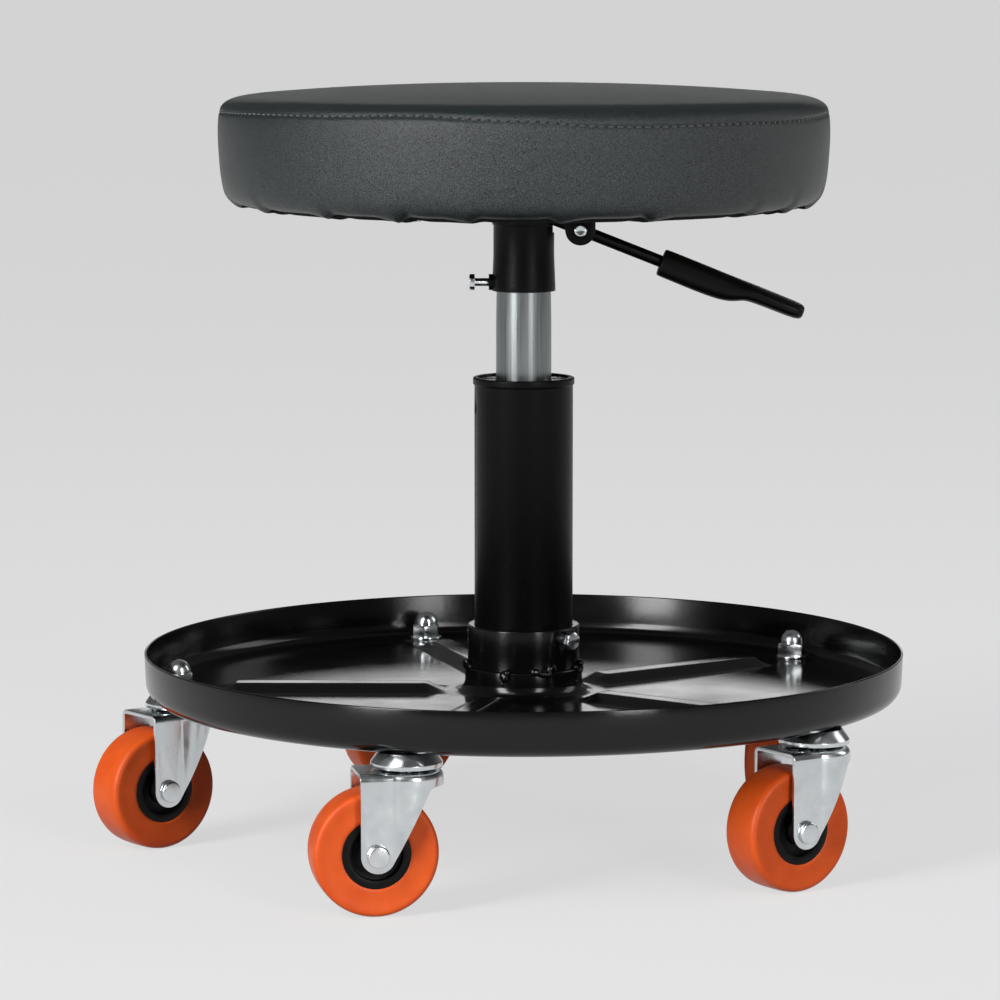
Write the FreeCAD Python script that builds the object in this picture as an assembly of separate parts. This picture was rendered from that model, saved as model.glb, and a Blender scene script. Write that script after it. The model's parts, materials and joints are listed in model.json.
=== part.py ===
import FreeCAD, Part
import math
import os

# Mechanic's stool: a round padded seat on a gas spring that stands in the neck of a round tool tray
# with five swivel casters. Millimetres, +Z up, +X to the lever's side, origin on the floor under the
# column's axis. The seat is drawn at its lowest height.

# Clearances, and the overrun that carries every cut clear of what it cuts.
CUT_OVERRUN = 6.0
RUNNING_CLEARANCE = 0.06
FIT_CLEARANCE = 0.05
FREE_CLEARANCE = 0.3
JOIN_TOLERANCE = 1e-6

# Wheels: a tyre on a plastic core that turns on a riveted axle.
WHEEL_DIA = 60.0
TYRE_WIDTH = 22.0
TYRE_EDGE_ROUND = 2.6
CORE_DIA = 33.0
CORE_INSET = 0.6
CORE_RIM_WIDTH = 4.0
CORE_RECESS_DEPTH = 3.5
HUB_WALL = 3.0
AXLE_DIA = 8.0
AXLE_HEAD_DIA = 10.7
AXLE_HEAD_HEIGHT = 2.4
AXLE_HEAD_CHAMFER = 0.7

# Caster forks, pressed from sheet, with the stem ahead of the axle.
FORK_SHEET = 2.0
LEG_CLEARANCE = 2.5
LEG_END_RADIUS = 8.2
LEG_SLANT_DEG = 27.0
LEG_CORNER_ROUND = 5.0
CASTER_TRAIL = 16.0
WHEEL_TOP_GAP = 6.5
FORK_NOSE_BULGE = 2.0
FORK_NOSE_BLEND = 6.0
FORK_SKIRT = 7.0
FORK_EDGE_ROUND = 3.5

# Caster swivels: balls between the fork and a cap, on a stem that a domed nut holds in the tray.
SWIVEL_BALL_DIA = 5.0
SWIVEL_BALL_COUNT = 10
SWIVEL_BALL_CIRCLE = 23.0
SWIVEL_BALL_SINK = 0.8
SWIVEL_BALL_GAP = 0.2
SWIVEL_GAP = 1.5
CAP_WALL = 2.8
CAP_HEIGHT = 7.0
CAP_RIM = 2.0
CAP_SLOPE = 3.5
STEM_DIA = 8.0
STEM_HEAD_DIA = 14.0
STEM_HEAD_HEIGHT = 3.0
STEM_HOLE_CLEARANCE = 0.2
WASHER_DIA = 17.0
WASHER_THICKNESS = 1.2
NUT_FLATS = 13.0
NUT_HEX_HEIGHT = 6.5
NUT_DOME_DIA = 12.2
NUT_DOME_NECK = 0.6
NUT_THREAD_DEPTH = 8.5
CASTER_INSET = 16.6
CASTER_COUNT = 5
CASTER_FIRST_DEG = 179.35
CASTER_NAMES = ("left", "back_left", "back_right", "front_right", "front_left")
CASTER_YAWS_DEG = (37.0, 25.0, 68.0, 35.0, 11.0)

# Tray, pressed from sheet, with a drawn neck in the middle and raised beads towards the casters.
TRAY_DIA = 380.0
TRAY_HEIGHT = 22.5
TRAY_SHEET = 1.2
TRAY_CORNER_RADIUS = 8.0
TRAY_LEAN_DEG = 2.5
NECK_CLEARANCE = 0.25
NECK_HEIGHT = 12.8
NECK_FILLET = 6.0
BEAD_START_GAP = 4.5
BEAD_END_GAP = 11.4
BEAD_WIDTH = 28.0
BEAD_HEIGHT = 4.0
BEAD_SLOPE = 9.0
BEAD_CORNER = 11.0
PAD_DIA = 24.0
PAD_RISE = 0.6

# Column socket, welded in the tray's neck, with the bolt that locks the column in it.
SOCKET_WALL = 3.35
SOCKET_HEIGHT = 35.0
SOCKET_CHAMFER = 0.6
LEDGE_THICKNESS = 2.5
LEDGE_WIDTH = 4.6
WELD_LEG = 2.2
WELD_SPAN_DEG = 30.0
WELD_ANGLES_DEG = (-15.0, -68.0, -108.0, 187.0, 135.0, 60.0)
LOCK_BOLT_DIA = 5.0
LOCK_BOLT_FLATS = 8.0
LOCK_BOLT_HEAD = 3.5
LOCK_BOLT_STANDOFF = 5.0
LOCK_BOLT_DROP = 5.0
LOCK_BOLT_DEG = -47.0

# Column tube with a turned-in end, a rolled lip and two pressed dents that hold the guide bush.
COLUMN_DIA = 49.2
COLUMN_WALL = 1.8
COLUMN_LENGTH = 156.8
COLUMN_END = 2.5
COLUMN_LIP_HEIGHT = 4.0
COLUMN_LIP_STEP = 0.7
DENT_RADIUS = 8.5
DENT_DEPTH = 1.0
DENT_DROP = 14.7
DENT_COUNT = 2
DENT_FIRST_DEG = 10.0
BUSH_LENGTH = 85.0
BUSH_RECESS = 1.0
BUSH_SLOT_COUNT = 8
BUSH_SLOT_WIDTH = 2.5
BUSH_SLOT_DEPTH = 3.0
BUSH_GROOVE_MARGIN = 2.5

# Thrust bearing and buffer at the foot of the column.
RACE_DIA = 22.0
RACE_THICKNESS = 1.5
RACE_CLEARANCE = 0.3
THRUST_BALL_DIA = 4.0
THRUST_BALL_COUNT = 9
THRUST_BALL_GAP = 0.15
BUFFER_DIA = 19.0
BUFFER_THICKNESS = 2.2
CLIP_DIA = 15.0
CLIP_THICKNESS = 1.2
CLIP_GROOVE_DEPTH = 0.8
CLIP_MOUTH_SHARE = 0.7
ROD_TAIL = 2.5

# Gas spring: the rod stands in the column and the cylinder slides over it.
CYLINDER_DIA = 27.6
CYLINDER_WALL = 1.6
CYLINDER_TAPER = 0.6
CYLINDER_LIP = 1.2
CYLINDER_MOUTH_DIA = 16.0
LIFT_GAP = 43.1
LIFT_STROKE = 100.0
TAPER_LEAD = 16.4
CYLINDER_GRIP = 26.6
ROD_DIA = 10.0
JOURNAL_DIA = 8.0
SPIGOT_DIA = 7.0
SPIGOT_END = 1.5
ROD_GUIDE_LENGTH = 14.0
PISTON_LENGTH = 12.0
PISTON_STOP_GAP = 1.0
PISTON_CLEARANCE = 0.1
SEAL_WIDTH = 3.0
SEAL_DEPTH = 2.2
VALVE_BODY_LENGTH = 20.0
VALVE_PIN_DIA = 6.0
VALVE_PIN_LENGTH = 22.0

# Seat socket on the cylinder's taper, with its set screw and the slot for the lever.
SEAT_SOCKET_LENGTH = 41.9
SEAT_SOCKET_WALL = 1.5
SEAT_SOCKET_FLARE = 0.7
SEAT_SOCKET_FLARE_HEIGHT = 18.0
SEAT_COLLAR_STEP = 0.6
SEAT_COLLAR_HEIGHT = 9.0
SET_SCREW_DIA = 4.0
SET_SCREW_FLATS = 7.0
SET_SCREW_HEAD = 2.7
SET_SCREW_HEIGHT = 4.2
SET_SCREW_STANDOFF = 7.0
SET_SCREW_BOSS_DIA = 8.0
SET_SCREW_BOSS = 1.6

# Release lever on its bracket under the seat plate.
LEVER_PIVOT_REACH = 28.0
LEVER_PIVOT_DROP = 11.6
LEVER_SLOPE_DEG = 21.5
LEVER_ROD_DIA = 6.0
LEVER_TIP_RISE = 5.9
LEVER_TIP_OVERHANG = 3.0
LEVER_BEND_RADIUS = 9.0
LEVER_EYE_DIA = 11.0
LEVER_SLOT_MARGIN = 1.5
LEVER_SLOT_DROP = 1.5
EAR_GAP = 8.0
EAR_SHEET = 2.5
EAR_WIDTH = 15.0
PIVOT_BOLT_DIA = 4.0
PIVOT_HEAD_DIA = 6.6
PIVOT_HEAD_HEIGHT = 2.4
PIVOT_HEAD_ROUND = 1.0
PIVOT_CROSS_LENGTH = 4.0
PIVOT_CROSS_WIDTH = 1.0
PIVOT_CROSS_DEPTH = 1.2
PIVOT_NUT_FLATS = 7.0
PIVOT_NUT_HEIGHT = 3.2
PIVOT_BOLT_TAIL = 1.0
GRIP_START = 43.0
GRIP_LENGTH = 74.5
GRIP_HEIGHT = 13.0
GRIP_BELLY_DROP = 1.0
GRIP_BELLY_PLACE = 37.0
GRIP_BELLY_WIDTH = 18.0
GRIP_BELLY_ROUND = 14.0
GRIP_CORNER_ROUND = 2.0
BLADE_PLACE = 47.0
BLADE_THICKNESS = 8.0
BLADE_WIDTH = 24.0
BLADE_END_ROUND = 9.0
BLADE_EDGE_ROUND = 3.9
GRIP_ROD_DEPTH = 34.0

# Seat: a steel plate bolted to a plywood board, and foam in a sewn cover that is stapled under the board.
PLATE_SIDE = 150.0
PLATE_THICKNESS = 2.5
PLATE_CORNER = 22.0
SEAT_BOLT_SPACING = 110.0
SEAT_BOLT_DIA = 6.0
SEAT_BOLT_FLATS = 10.0
SEAT_BOLT_HEAD = 4.0
SEAT_BOLT_CLEARANCE = 0.3
TEE_FLANGE_DIA = 18.0
TEE_FLANGE = 1.2
TEE_BARREL_WALL = 1.2
TEE_BARREL_LENGTH = 9.0
BOARD_INSET = 7.5
BOARD_THICKNESS = 15.0
BOARD_EDGE_ROUND = 5.0
SEAT_DIA = 302.0
FOAM_THICKNESS = 40.0
COVER_THICKNESS = 1.2
COVER_LOWER_ROUND = 10.0
COVER_UPPER_ROUND = 9.0
COVER_DRAW_IN = 1.5
COVER_BULGE_SHARE = 0.3
COVER_CROWN_DEG = 4.0
SEAM_RISE = 1.3
HEM_WIDTH = 23.0
STAPLE_COUNT = 36
STAPLE_INSET = 8.0
STAPLE_CROWN = 10.0
STAPLE_WIDTH = 1.0
STAPLE_WIRE = 0.6
STAPLE_LEG = 6.0

# Hex heads have their corners turned down to this share of the width across the flats.
HEX_CHAMFER_SHARE = 0.06

# Levels of the casters and the tray, from the floor upwards.
axle_z = WHEEL_DIA / 2
fork_top_z = WHEEL_DIA + WHEEL_TOP_GAP + FORK_SHEET
cap_z = fork_top_z + SWIVEL_GAP
tray_z = cap_z + CAP_HEIGHT
floor_z = tray_z + TRAY_SHEET
rim_z = tray_z + TRAY_HEIGHT
neck_z = floor_z + NECK_HEIGHT
pad_z = floor_z + PAD_RISE
nut_z = pad_z + WASHER_THICKNESS
ball_z = fork_top_z + SWIVEL_BALL_DIA / 2 - SWIVEL_BALL_SINK

# Levels of the column and the gas spring.
column_z = tray_z + LEDGE_THICKNESS
column_top_z = column_z + COLUMN_LENGTH
socket_top_z = tray_z + SOCKET_HEIGHT
dent_z = column_top_z - DENT_DROP
race_z = column_z + COLUMN_END
upper_race_z = race_z + RACE_THICKNESS + THRUST_BALL_DIA + 2 * THRUST_BALL_GAP
shoulder_z = upper_race_z + RACE_THICKNESS
cylinder_z = shoulder_z + BUFFER_THICKNESS + FREE_CLEARANCE
clip_z = column_z - FREE_CLEARANCE - CLIP_THICKNESS
guide_z = cylinder_z + CYLINDER_LIP
piston_z = guide_z + ROD_GUIDE_LENGTH + LIFT_STROKE + PISTON_STOP_GAP
seat_socket_z = column_top_z + LIFT_GAP
taper_z = seat_socket_z - TAPER_LEAD
cylinder_top_z = seat_socket_z + CYLINDER_GRIP
valve_top_z = cylinder_top_z - CYLINDER_LIP

# Levels of the lever and the seat.
plate_z = seat_socket_z + SEAT_SOCKET_LENGTH
board_z = plate_z + PLATE_THICKNESS
board_top_z = board_z + BOARD_THICKNESS
seat_top_z = board_top_z + FOAM_THICKNESS + COVER_THICKNESS
hem_z = board_z - COVER_THICKNESS
pivot_z = plate_z - LEVER_PIVOT_DROP
tip_z = pivot_z + LEVER_TIP_RISE
pin_top_z = tip_z - LEVER_ROD_DIA / 2 - FREE_CLEARANCE

# Radii and half widths that several pieces share.
wheel_r = WHEEL_DIA / 2
leg_inner = TYRE_WIDTH / 2 + LEG_CLEARANCE
leg_outer = leg_inner + FORK_SHEET
fork_nose_r = leg_outer + FORK_NOSE_BULGE
fork_tail = CASTER_TRAIL + LEG_END_RADIUS
stem_r = STEM_DIA / 2
caster_circle_r = TRAY_DIA / 2 - CASTER_INSET
column_r = COLUMN_DIA / 2
column_bore_r = column_r - COLUMN_WALL
socket_bore_r = column_r + FIT_CLEARANCE
socket_r = socket_bore_r + SOCKET_WALL
neck_bore_r = socket_r + NECK_CLEARANCE
neck_r = neck_bore_r + TRAY_SHEET
cylinder_r = CYLINDER_DIA / 2
cylinder_top_r = cylinder_r - CYLINDER_TAPER
cylinder_bore_r = cylinder_r - CYLINDER_WALL
rod_r = ROD_DIA / 2
journal_r = JOURNAL_DIA / 2
lever_rod_r = LEVER_ROD_DIA / 2
ear_outer = EAR_GAP / 2 + EAR_SHEET
seat_r = SEAT_DIA / 2
board_r = seat_r - BOARD_INSET
hem_r = seat_r - COVER_DRAW_IN - COVER_LOWER_ROUND - HEM_WIDTH
bolt_offset = SEAT_BOLT_SPACING / 2

Vector = FreeCAD.Vector
ORIGIN = Vector(0, 0, 0)
X_AXIS = Vector(1, 0, 0)
Y_AXIS = Vector(0, 1, 0)
Z_AXIS = Vector(0, 0, 1)
FULL_TURN_DEG = 360.0


def rounded_edges(corners, closed=True):
    """Edges through the corners, each a point and the radius that rounds it."""
    starts, ends, edges = [], [], []
    arcs = {}
    count = len(corners)
    for index, (point, radius) in enumerate(corners):
        inner = closed or 0 < index < count - 1
        if radius == 0 or not inner:
            starts.append(point)
            ends.append(point)
            continue
        back = (corners[index - 1][0] - point).normalize()
        ahead = (corners[(index + 1) % count][0] - point).normalize()
        half_angle = back.getAngle(ahead) / 2
        middle = (back + ahead).normalize()
        run = radius / math.tan(half_angle)
        starts.append(point + back * run)
        ends.append(point + ahead * run)
        crest = point + middle * (radius / math.sin(half_angle) - radius)
        arcs[index] = Part.Arc(starts[-1], crest, ends[-1]).toShape()
    for index in range(count):
        if index in arcs:
            edges.append(arcs[index])
        following = (index + 1) % count
        last = not closed and index == count - 1
        if not last and ends[index].distanceToPoint(starts[following]) > JOIN_TOLERANCE:
            edges.append(Part.makeLine(ends[index], starts[following]))
    return edges


def in_section(corners):
    """Corners given as radius, height and rounding, set in the plane of X and Z."""
    return [(Vector(radius, 0, height), rounding) for radius, height, rounding in corners]


def face_of(edges):
    return Part.Face(Part.Wire(edges))


def turned(corners, angle=FULL_TURN_DEG):
    """The solid that the corners' outline sweeps round the Z axis."""
    return face_of(rounded_edges(in_section(corners))).revolve(ORIGIN, Z_AXIS, angle)


def rod(radius, low, high):
    return Part.makeCylinder(radius, high - low, Vector(0, 0, low))


def ring(outer, inner, low, high):
    return turned([(inner, low, 0), (outer, low, 0), (outer, high, 0), (inner, high, 0)])


def torus(circle_r, wire_r, height):
    return Part.makeTorus(circle_r, wire_r, Vector(0, 0, height))


def aimed(shape, direction, place):
    """A copy of a shape drawn along Z, turned to a direction and moved to a place."""
    copy = shape.copy()
    turn = FreeCAD.Placement(place, FreeCAD.Rotation(Z_AXIS, direction))
    copy.Placement = turn.multiply(copy.Placement)
    return copy


def spun(shape, degrees):
    return shape.rotated(ORIGIN, Z_AXIS, degrees)


def spread(shape, count, first=0.0):
    """Copies of a shape round the Z axis, evenly spaced."""
    return [spun(shape, first + FULL_TURN_DEG * index / count) for index in range(count)]


def hex_prism(flats, low, high):
    """A hexagonal prism with its outer corners turned down."""
    corner_r = flats / math.sqrt(3)
    chamfer = flats * HEX_CHAMFER_SHARE
    points = []
    for index in range(7):
        angle = math.radians(60 * index)
        points.append(Vector(corner_r * math.cos(angle), corner_r * math.sin(angle), low))
    prism = Part.Face(Part.makePolygon(points)).extrude(Vector(0, 0, high - low))
    barrel = [
        (0, low, 0),
        (corner_r, low, 0),
        (corner_r, high - chamfer, 0),
        (corner_r - chamfer * math.sqrt(3), high, 0),
        (0, high, 0),
    ]
    return prism.common(turned(barrel))


def hex_bolt(diameter, length, flats, head):
    """A bolt along Z: its head stands on the plane z = 0 and its shank runs down from it."""
    shank = rod(diameter / 2, -length, 0)
    return hex_prism(flats, 0, head).fuse(shank).removeSplitter()


def slab(corners, low, high):
    """An outline in the plane of X and Z, thick along Y."""
    face = face_of(rounded_edges(in_section(corners)))
    face.translate(Vector(0, low, 0))
    return face.extrude(Vector(0, high - low, 0))


def rounded_rectangle(x_low, x_high, half_width, radius, height):
    """A wire in a level plane."""
    places = ((x_low, -half_width), (x_high, -half_width), (x_high, half_width), (x_low, half_width))
    corners = [(Vector(x, y, height), radius) for x, y in places]
    return Part.Wire(rounded_edges(corners))


def save(name, *shapes):
    shape = shapes[0] if len(shapes) == 1 else Part.makeCompound(list(shapes))
    shape.exportStep(os.path.join("parts", name + ".step"))


def caster_place(shape, index):
    """A shape drawn about its own stem, set at one of the casters with that caster's yaw."""
    angle = CASTER_FIRST_DEG - FULL_TURN_DEG * index / CASTER_COUNT
    across = math.radians(angle)
    stem = Vector(caster_circle_r * math.cos(across), caster_circle_r * math.sin(across), 0)
    return spun(shape, CASTER_YAWS_DEG[index]).translated(stem)


def at_axle(shape):
    """A shape drawn about Z, turned onto the caster's axle."""
    return aimed(shape, Y_AXIS, Vector(-CASTER_TRAIL, 0, axle_z))


def wheel_tyre():
    half = TYRE_WIDTH / 2
    core_r = CORE_DIA / 2
    profile = [
        (core_r, -half, 0),
        (wheel_r, -half, TYRE_EDGE_ROUND),
        (wheel_r, half, TYRE_EDGE_ROUND),
        (core_r, half, 0),
    ]
    return at_axle(turned(profile))


def wheel_core():
    bore_r = AXLE_DIA / 2 + RUNNING_CLEARANCE
    hub_r = bore_r + HUB_WALL
    core_r = CORE_DIA / 2
    rim_r = core_r - CORE_RIM_WIDTH
    hub_half = leg_inner - FREE_CLEARANCE
    rim_half = TYRE_WIDTH / 2 - CORE_INSET
    web_half = rim_half - CORE_RECESS_DEPTH
    side = [(bore_r, hub_half), (hub_r, hub_half), (hub_r, web_half)]
    side += [(rim_r, web_half), (rim_r, rim_half), (core_r, rim_half)]
    profile = [(radius, height, 0) for radius, height in side]
    profile += [(radius, -height, 0) for radius, height in reversed(side)]
    return at_axle(turned(profile))


def wheel_axle():
    shaft_r = AXLE_DIA / 2
    head_r = AXLE_HEAD_DIA / 2
    crown = leg_outer + AXLE_HEAD_HEIGHT
    bevel_r = head_r - AXLE_HEAD_CHAMFER
    bevel = crown - AXLE_HEAD_CHAMFER
    side = [(shaft_r, leg_outer), (head_r, leg_outer), (head_r, bevel), (bevel_r, crown), (0, crown)]
    profile = [(radius, -height, 0) for radius, height in reversed(side)]
    profile += [(radius, height, 0) for radius, height in side]
    return at_axle(turned(profile))


def fork_block(inset, tail, top, rounding):
    """The fork's outline from above, drawn in by the inset, as a block with rounded upper edges."""
    half = leg_outer - inset
    nose = fork_nose_r - inset
    blend = FORK_NOSE_BLEND + inset
    blend_x = -math.sqrt((nose + blend) ** 2 - (half + blend) ** 2)
    low = axle_z - LEG_END_RADIUS - inset
    edges = []
    meets = {}
    for side in (1, -1):
        centre = Vector(blend_x, side * (half + blend), low)
        leg_end = Vector(-tail, side * half, low)
        leg_meet = Vector(blend_x, side * half, low)
        inward = Vector(-blend_x, -side * (half + blend), 0).normalize()
        nose_meet = centre + inward * blend
        crest = centre + (inward + Vector(0, -side, 0)).normalize() * blend
        edges.append(Part.makeLine(leg_end, leg_meet))
        edges.append(Part.Arc(leg_meet, crest, nose_meet).toShape())
        meets[side] = (leg_end, nose_meet)
    edges.append(Part.Arc(meets[1][1], Vector(nose, 0, low), meets[-1][1]).toShape())
    edges.append(Part.makeLine(meets[-1][0], meets[1][0]))
    wire = Part.Wire(Part.sortEdges(edges)[0])
    block = Part.Face(wire).extrude(Vector(0, 0, top - low))
    crown = []
    for edge in block.Edges:
        ends = [vertex.Point for vertex in edge.Vertexes]
        level = all(abs(point.z - top) < JOIN_TOLERANCE for point in ends)
        at_tail = all(abs(point.x + tail) < JOIN_TOLERANCE for point in ends)
        if level and not at_tail:
            crown.append(edge)
    return block.makeFillet(rounding, crown)


def fork_side():
    """The fork's outline from the side: straight behind the axle, slanting ahead of it."""
    slant = math.radians(LEG_SLANT_DEG)
    touch_x = -CASTER_TRAIL + LEG_END_RADIUS * math.cos(slant)
    touch_z = axle_z - LEG_END_RADIUS * math.sin(slant)
    foot_z = touch_z - (touch_x + fork_tail) / math.tan(slant)
    skirt_z = fork_top_z - FORK_SKIRT
    lead_x = touch_x + (skirt_z - touch_z) * math.tan(slant)
    front_x = fork_nose_r + CUT_OVERRUN
    above_z = fork_top_z + CUT_OVERRUN
    corners = [
        (-fork_tail, above_z, 0),
        (-fork_tail, foot_z, LEG_END_RADIUS),
        (lead_x, skirt_z, LEG_CORNER_ROUND),
        (front_x, skirt_z, 0),
        (front_x, above_z, 0),
    ]
    return slab(corners, -fork_nose_r - CUT_OVERRUN, fork_nose_r + CUT_OVERRUN)


def swivel_race():
    """The round channel that the swivel balls run in."""
    return torus(SWIVEL_BALL_CIRCLE / 2, SWIVEL_BALL_DIA / 2 + SWIVEL_BALL_GAP, ball_z)


def caster_fork():
    outside = fork_block(0, fork_tail, fork_top_z, FORK_EDGE_ROUND)
    ceiling = fork_top_z - FORK_SHEET
    inside = fork_block(FORK_SHEET, fork_tail + CUT_OVERRUN, ceiling, FORK_EDGE_ROUND - FORK_SHEET)
    fork = outside.cut(inside).common(fork_side())
    half_length = leg_outer + CUT_OVERRUN
    axle_hole = at_axle(rod(AXLE_DIA / 2 + FIT_CLEARANCE, -half_length, half_length))
    stem_hole = rod(stem_r + RUNNING_CLEARANCE, ceiling - CUT_OVERRUN, fork_top_z + CUT_OVERRUN)
    return fork.cut([axle_hole, stem_hole, swivel_race()])


def swivel_cap():
    bore_r = stem_r + FIT_CLEARANCE
    cap_r = SWIVEL_BALL_CIRCLE / 2 + SWIVEL_BALL_DIA / 2 + SWIVEL_BALL_GAP + CAP_WALL
    profile = [
        (bore_r, cap_z, 0),
        (cap_r, cap_z, 0),
        (cap_r, cap_z + CAP_RIM, 0),
        (cap_r - CAP_SLOPE, tray_z, 0),
        (bore_r, tray_z, 0),
    ]
    return turned(profile).cut(swivel_race())


def swivel_balls():
    place = Vector(SWIVEL_BALL_CIRCLE / 2, 0, ball_z)
    return Part.makeCompound(spread(Part.makeSphere(SWIVEL_BALL_DIA / 2, place), SWIVEL_BALL_COUNT))


def caster_stem():
    head_top = fork_top_z - FORK_SHEET - FREE_CLEARANCE
    head = rod(STEM_HEAD_DIA / 2, head_top - STEM_HEAD_HEIGHT, head_top)
    return head.fuse(rod(stem_r, head_top - STEM_HEAD_HEIGHT, nut_z + NUT_THREAD_DEPTH)).removeSplitter()


def stem_washer():
    return ring(WASHER_DIA / 2, stem_r + STEM_HOLE_CLEARANCE, pad_z, nut_z)


def acorn_nut():
    dome_r = NUT_DOME_DIA / 2
    hex_top = nut_z + NUT_HEX_HEIGHT
    dome_z = hex_top + NUT_DOME_NECK
    dome = rod(dome_r, hex_top, dome_z).fuse(Part.makeSphere(dome_r, Vector(0, 0, dome_z)))
    nut = hex_prism(NUT_FLATS, nut_z, hex_top).fuse(dome.common(rod(dome_r, hex_top, dome_z + dome_r)))
    thread = rod(stem_r + FIT_CLEARANCE, nut_z - CUT_OVERRUN, nut_z + NUT_THREAD_DEPTH + FIT_CLEARANCE)
    return nut.cut(thread).removeSplitter()


def tray_bead(low):
    """One raised bead that runs out along +X, with sloping sides, standing on the level given."""
    start = neck_r + NECK_FILLET + BEAD_START_GAP
    end = caster_circle_r - PAD_DIA / 2 - BEAD_END_GAP
    half = BEAD_WIDTH / 2
    foot = rounded_rectangle(start, end, half, BEAD_CORNER, low)
    crest_round = BEAD_CORNER * (half - BEAD_SLOPE) / half
    crest = rounded_rectangle(
        start + BEAD_SLOPE, end - BEAD_SLOPE, half - BEAD_SLOPE, crest_round, low + BEAD_HEIGHT
    )
    return Part.makeLoft([foot, crest], True, True)


def tray():
    rim_r = TRAY_DIA / 2
    foot_r = rim_r - TRAY_HEIGHT * math.tan(math.radians(TRAY_LEAN_DEG))
    profile = [
        (rim_r, rim_z, 0),
        (foot_r, tray_z, TRAY_CORNER_RADIUS),
        (neck_bore_r, tray_z, NECK_FILLET + TRAY_SHEET),
        (neck_bore_r, neck_z, 0),
        (neck_r, neck_z, 0),
        (neck_r, floor_z, NECK_FILLET),
        (foot_r - TRAY_SHEET, floor_z, TRAY_CORNER_RADIUS - TRAY_SHEET),
        (rim_r - TRAY_SHEET, rim_z, 0),
    ]
    sheet = turned(profile)
    stem_place = Vector(caster_circle_r, 0, 0)
    pad = rod(PAD_DIA / 2, floor_z, pad_z).translated(stem_place)
    hole = rod(stem_r + STEM_HOLE_CLEARANCE, tray_z - CUT_OVERRUN, pad_z + CUT_OVERRUN)
    hole = hole.translated(stem_place)
    raised = spread(tray_bead(floor_z), CASTER_COUNT, CASTER_FIRST_DEG)
    raised += spread(pad, CASTER_COUNT, CASTER_FIRST_DEG)
    sunk = spread(tray_bead(tray_z), CASTER_COUNT, CASTER_FIRST_DEG)
    sunk += spread(hole, CASTER_COUNT, CASTER_FIRST_DEG)
    return sheet.fuse(raised).cut(sunk)


def lock_bolt_place(radius):
    """A point on the lock bolt's line, at a distance from the column's axis."""
    across = math.radians(LOCK_BOLT_DEG)
    height = socket_top_z - LOCK_BOLT_DROP
    return Vector(radius * math.cos(across), radius * math.sin(across), height)


def column_socket():
    profile = [
        (socket_bore_r - LEDGE_WIDTH, tray_z, 0),
        (socket_r, tray_z, 0),
        (socket_r, socket_top_z - SOCKET_CHAMFER, 0),
        (socket_r - SOCKET_CHAMFER, socket_top_z, 0),
        (socket_bore_r, socket_top_z, 0),
        (socket_bore_r, column_z, 0),
        (socket_bore_r - LEDGE_WIDTH, column_z, 0),
    ]
    outward = lock_bolt_place(1) - lock_bolt_place(0)
    thread = rod(LOCK_BOLT_DIA / 2 + FIT_CLEARANCE, 0, socket_r + CUT_OVERRUN)
    return turned(profile).cut(aimed(thread, outward, lock_bolt_place(0)))


def socket_lock_bolt():
    head_r = socket_r + LOCK_BOLT_STANDOFF
    length = head_r - column_r - FIT_CLEARANCE
    bolt = hex_bolt(LOCK_BOLT_DIA, length, LOCK_BOLT_FLATS, LOCK_BOLT_HEAD)
    outward = lock_bolt_place(1) - lock_bolt_place(0)
    return aimed(bolt, outward, lock_bolt_place(head_r))


def socket_welds():
    inner = socket_r + FIT_CLEARANCE
    section = [(inner, neck_z, 0), (neck_r, neck_z, 0), (inner, neck_z + WELD_LEG, 0)]
    weld = spun(turned(section, WELD_SPAN_DEG), -WELD_SPAN_DEG / 2)
    return [spun(weld, angle) for angle in WELD_ANGLES_DEG]


def column_tube():
    end_bore = journal_r + RUNNING_CLEARANCE
    lip_r = column_r + COLUMN_LIP_STEP
    profile = [
        (end_bore, column_z, 0),
        (column_r, column_z, 0),
        (column_r, column_top_z - COLUMN_LIP_HEIGHT, 0),
        (lip_r, column_top_z - COLUMN_LIP_HEIGHT + COLUMN_LIP_STEP, 0),
        (lip_r, column_top_z, COLUMN_LIP_STEP),
        (column_bore_r, column_top_z, 0),
        (column_bore_r, race_z, 0),
        (end_bore, race_z, 0),
    ]
    centre = Vector(column_r + DENT_RADIUS - DENT_DEPTH, 0, dent_z)
    bump = Part.makeSphere(DENT_RADIUS + COLUMN_WALL, centre).common(
        rod(column_bore_r + COLUMN_WALL / 2, dent_z - DENT_RADIUS, dent_z + DENT_RADIUS)
    )
    bumps = spread(bump, DENT_COUNT, DENT_FIRST_DEG)
    dents = spread(Part.makeSphere(DENT_RADIUS, centre), DENT_COUNT, DENT_FIRST_DEG)
    return turned(profile).fuse(bumps).cut(dents)


def guide_bush():
    top = column_top_z - BUSH_RECESS
    outer = column_bore_r - FIT_CLEARANCE
    inner = cylinder_r + RUNNING_CLEARANCE
    bush = ring(outer, inner, top - BUSH_LENGTH, top)
    groove_half = math.sqrt(2 * (DENT_RADIUS + COLUMN_WALL) * DENT_DEPTH) + BUSH_GROOVE_MARGIN
    groove_r = outer - DENT_DEPTH - FREE_CLEARANCE
    groove = ring(outer + CUT_OVERRUN, groove_r, dent_z - groove_half, dent_z + groove_half)
    slot = Part.makeBox(
        outer + CUT_OVERRUN,
        BUSH_SLOT_WIDTH,
        BUSH_SLOT_DEPTH + CUT_OVERRUN,
        Vector(0, -BUSH_SLOT_WIDTH / 2, top - BUSH_SLOT_DEPTH),
    )
    return bush.cut([groove] + spread(slot, BUSH_SLOT_COUNT))


def thrust_race(low):
    return ring(RACE_DIA / 2, journal_r + RACE_CLEARANCE, low, low + RACE_THICKNESS)


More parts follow.
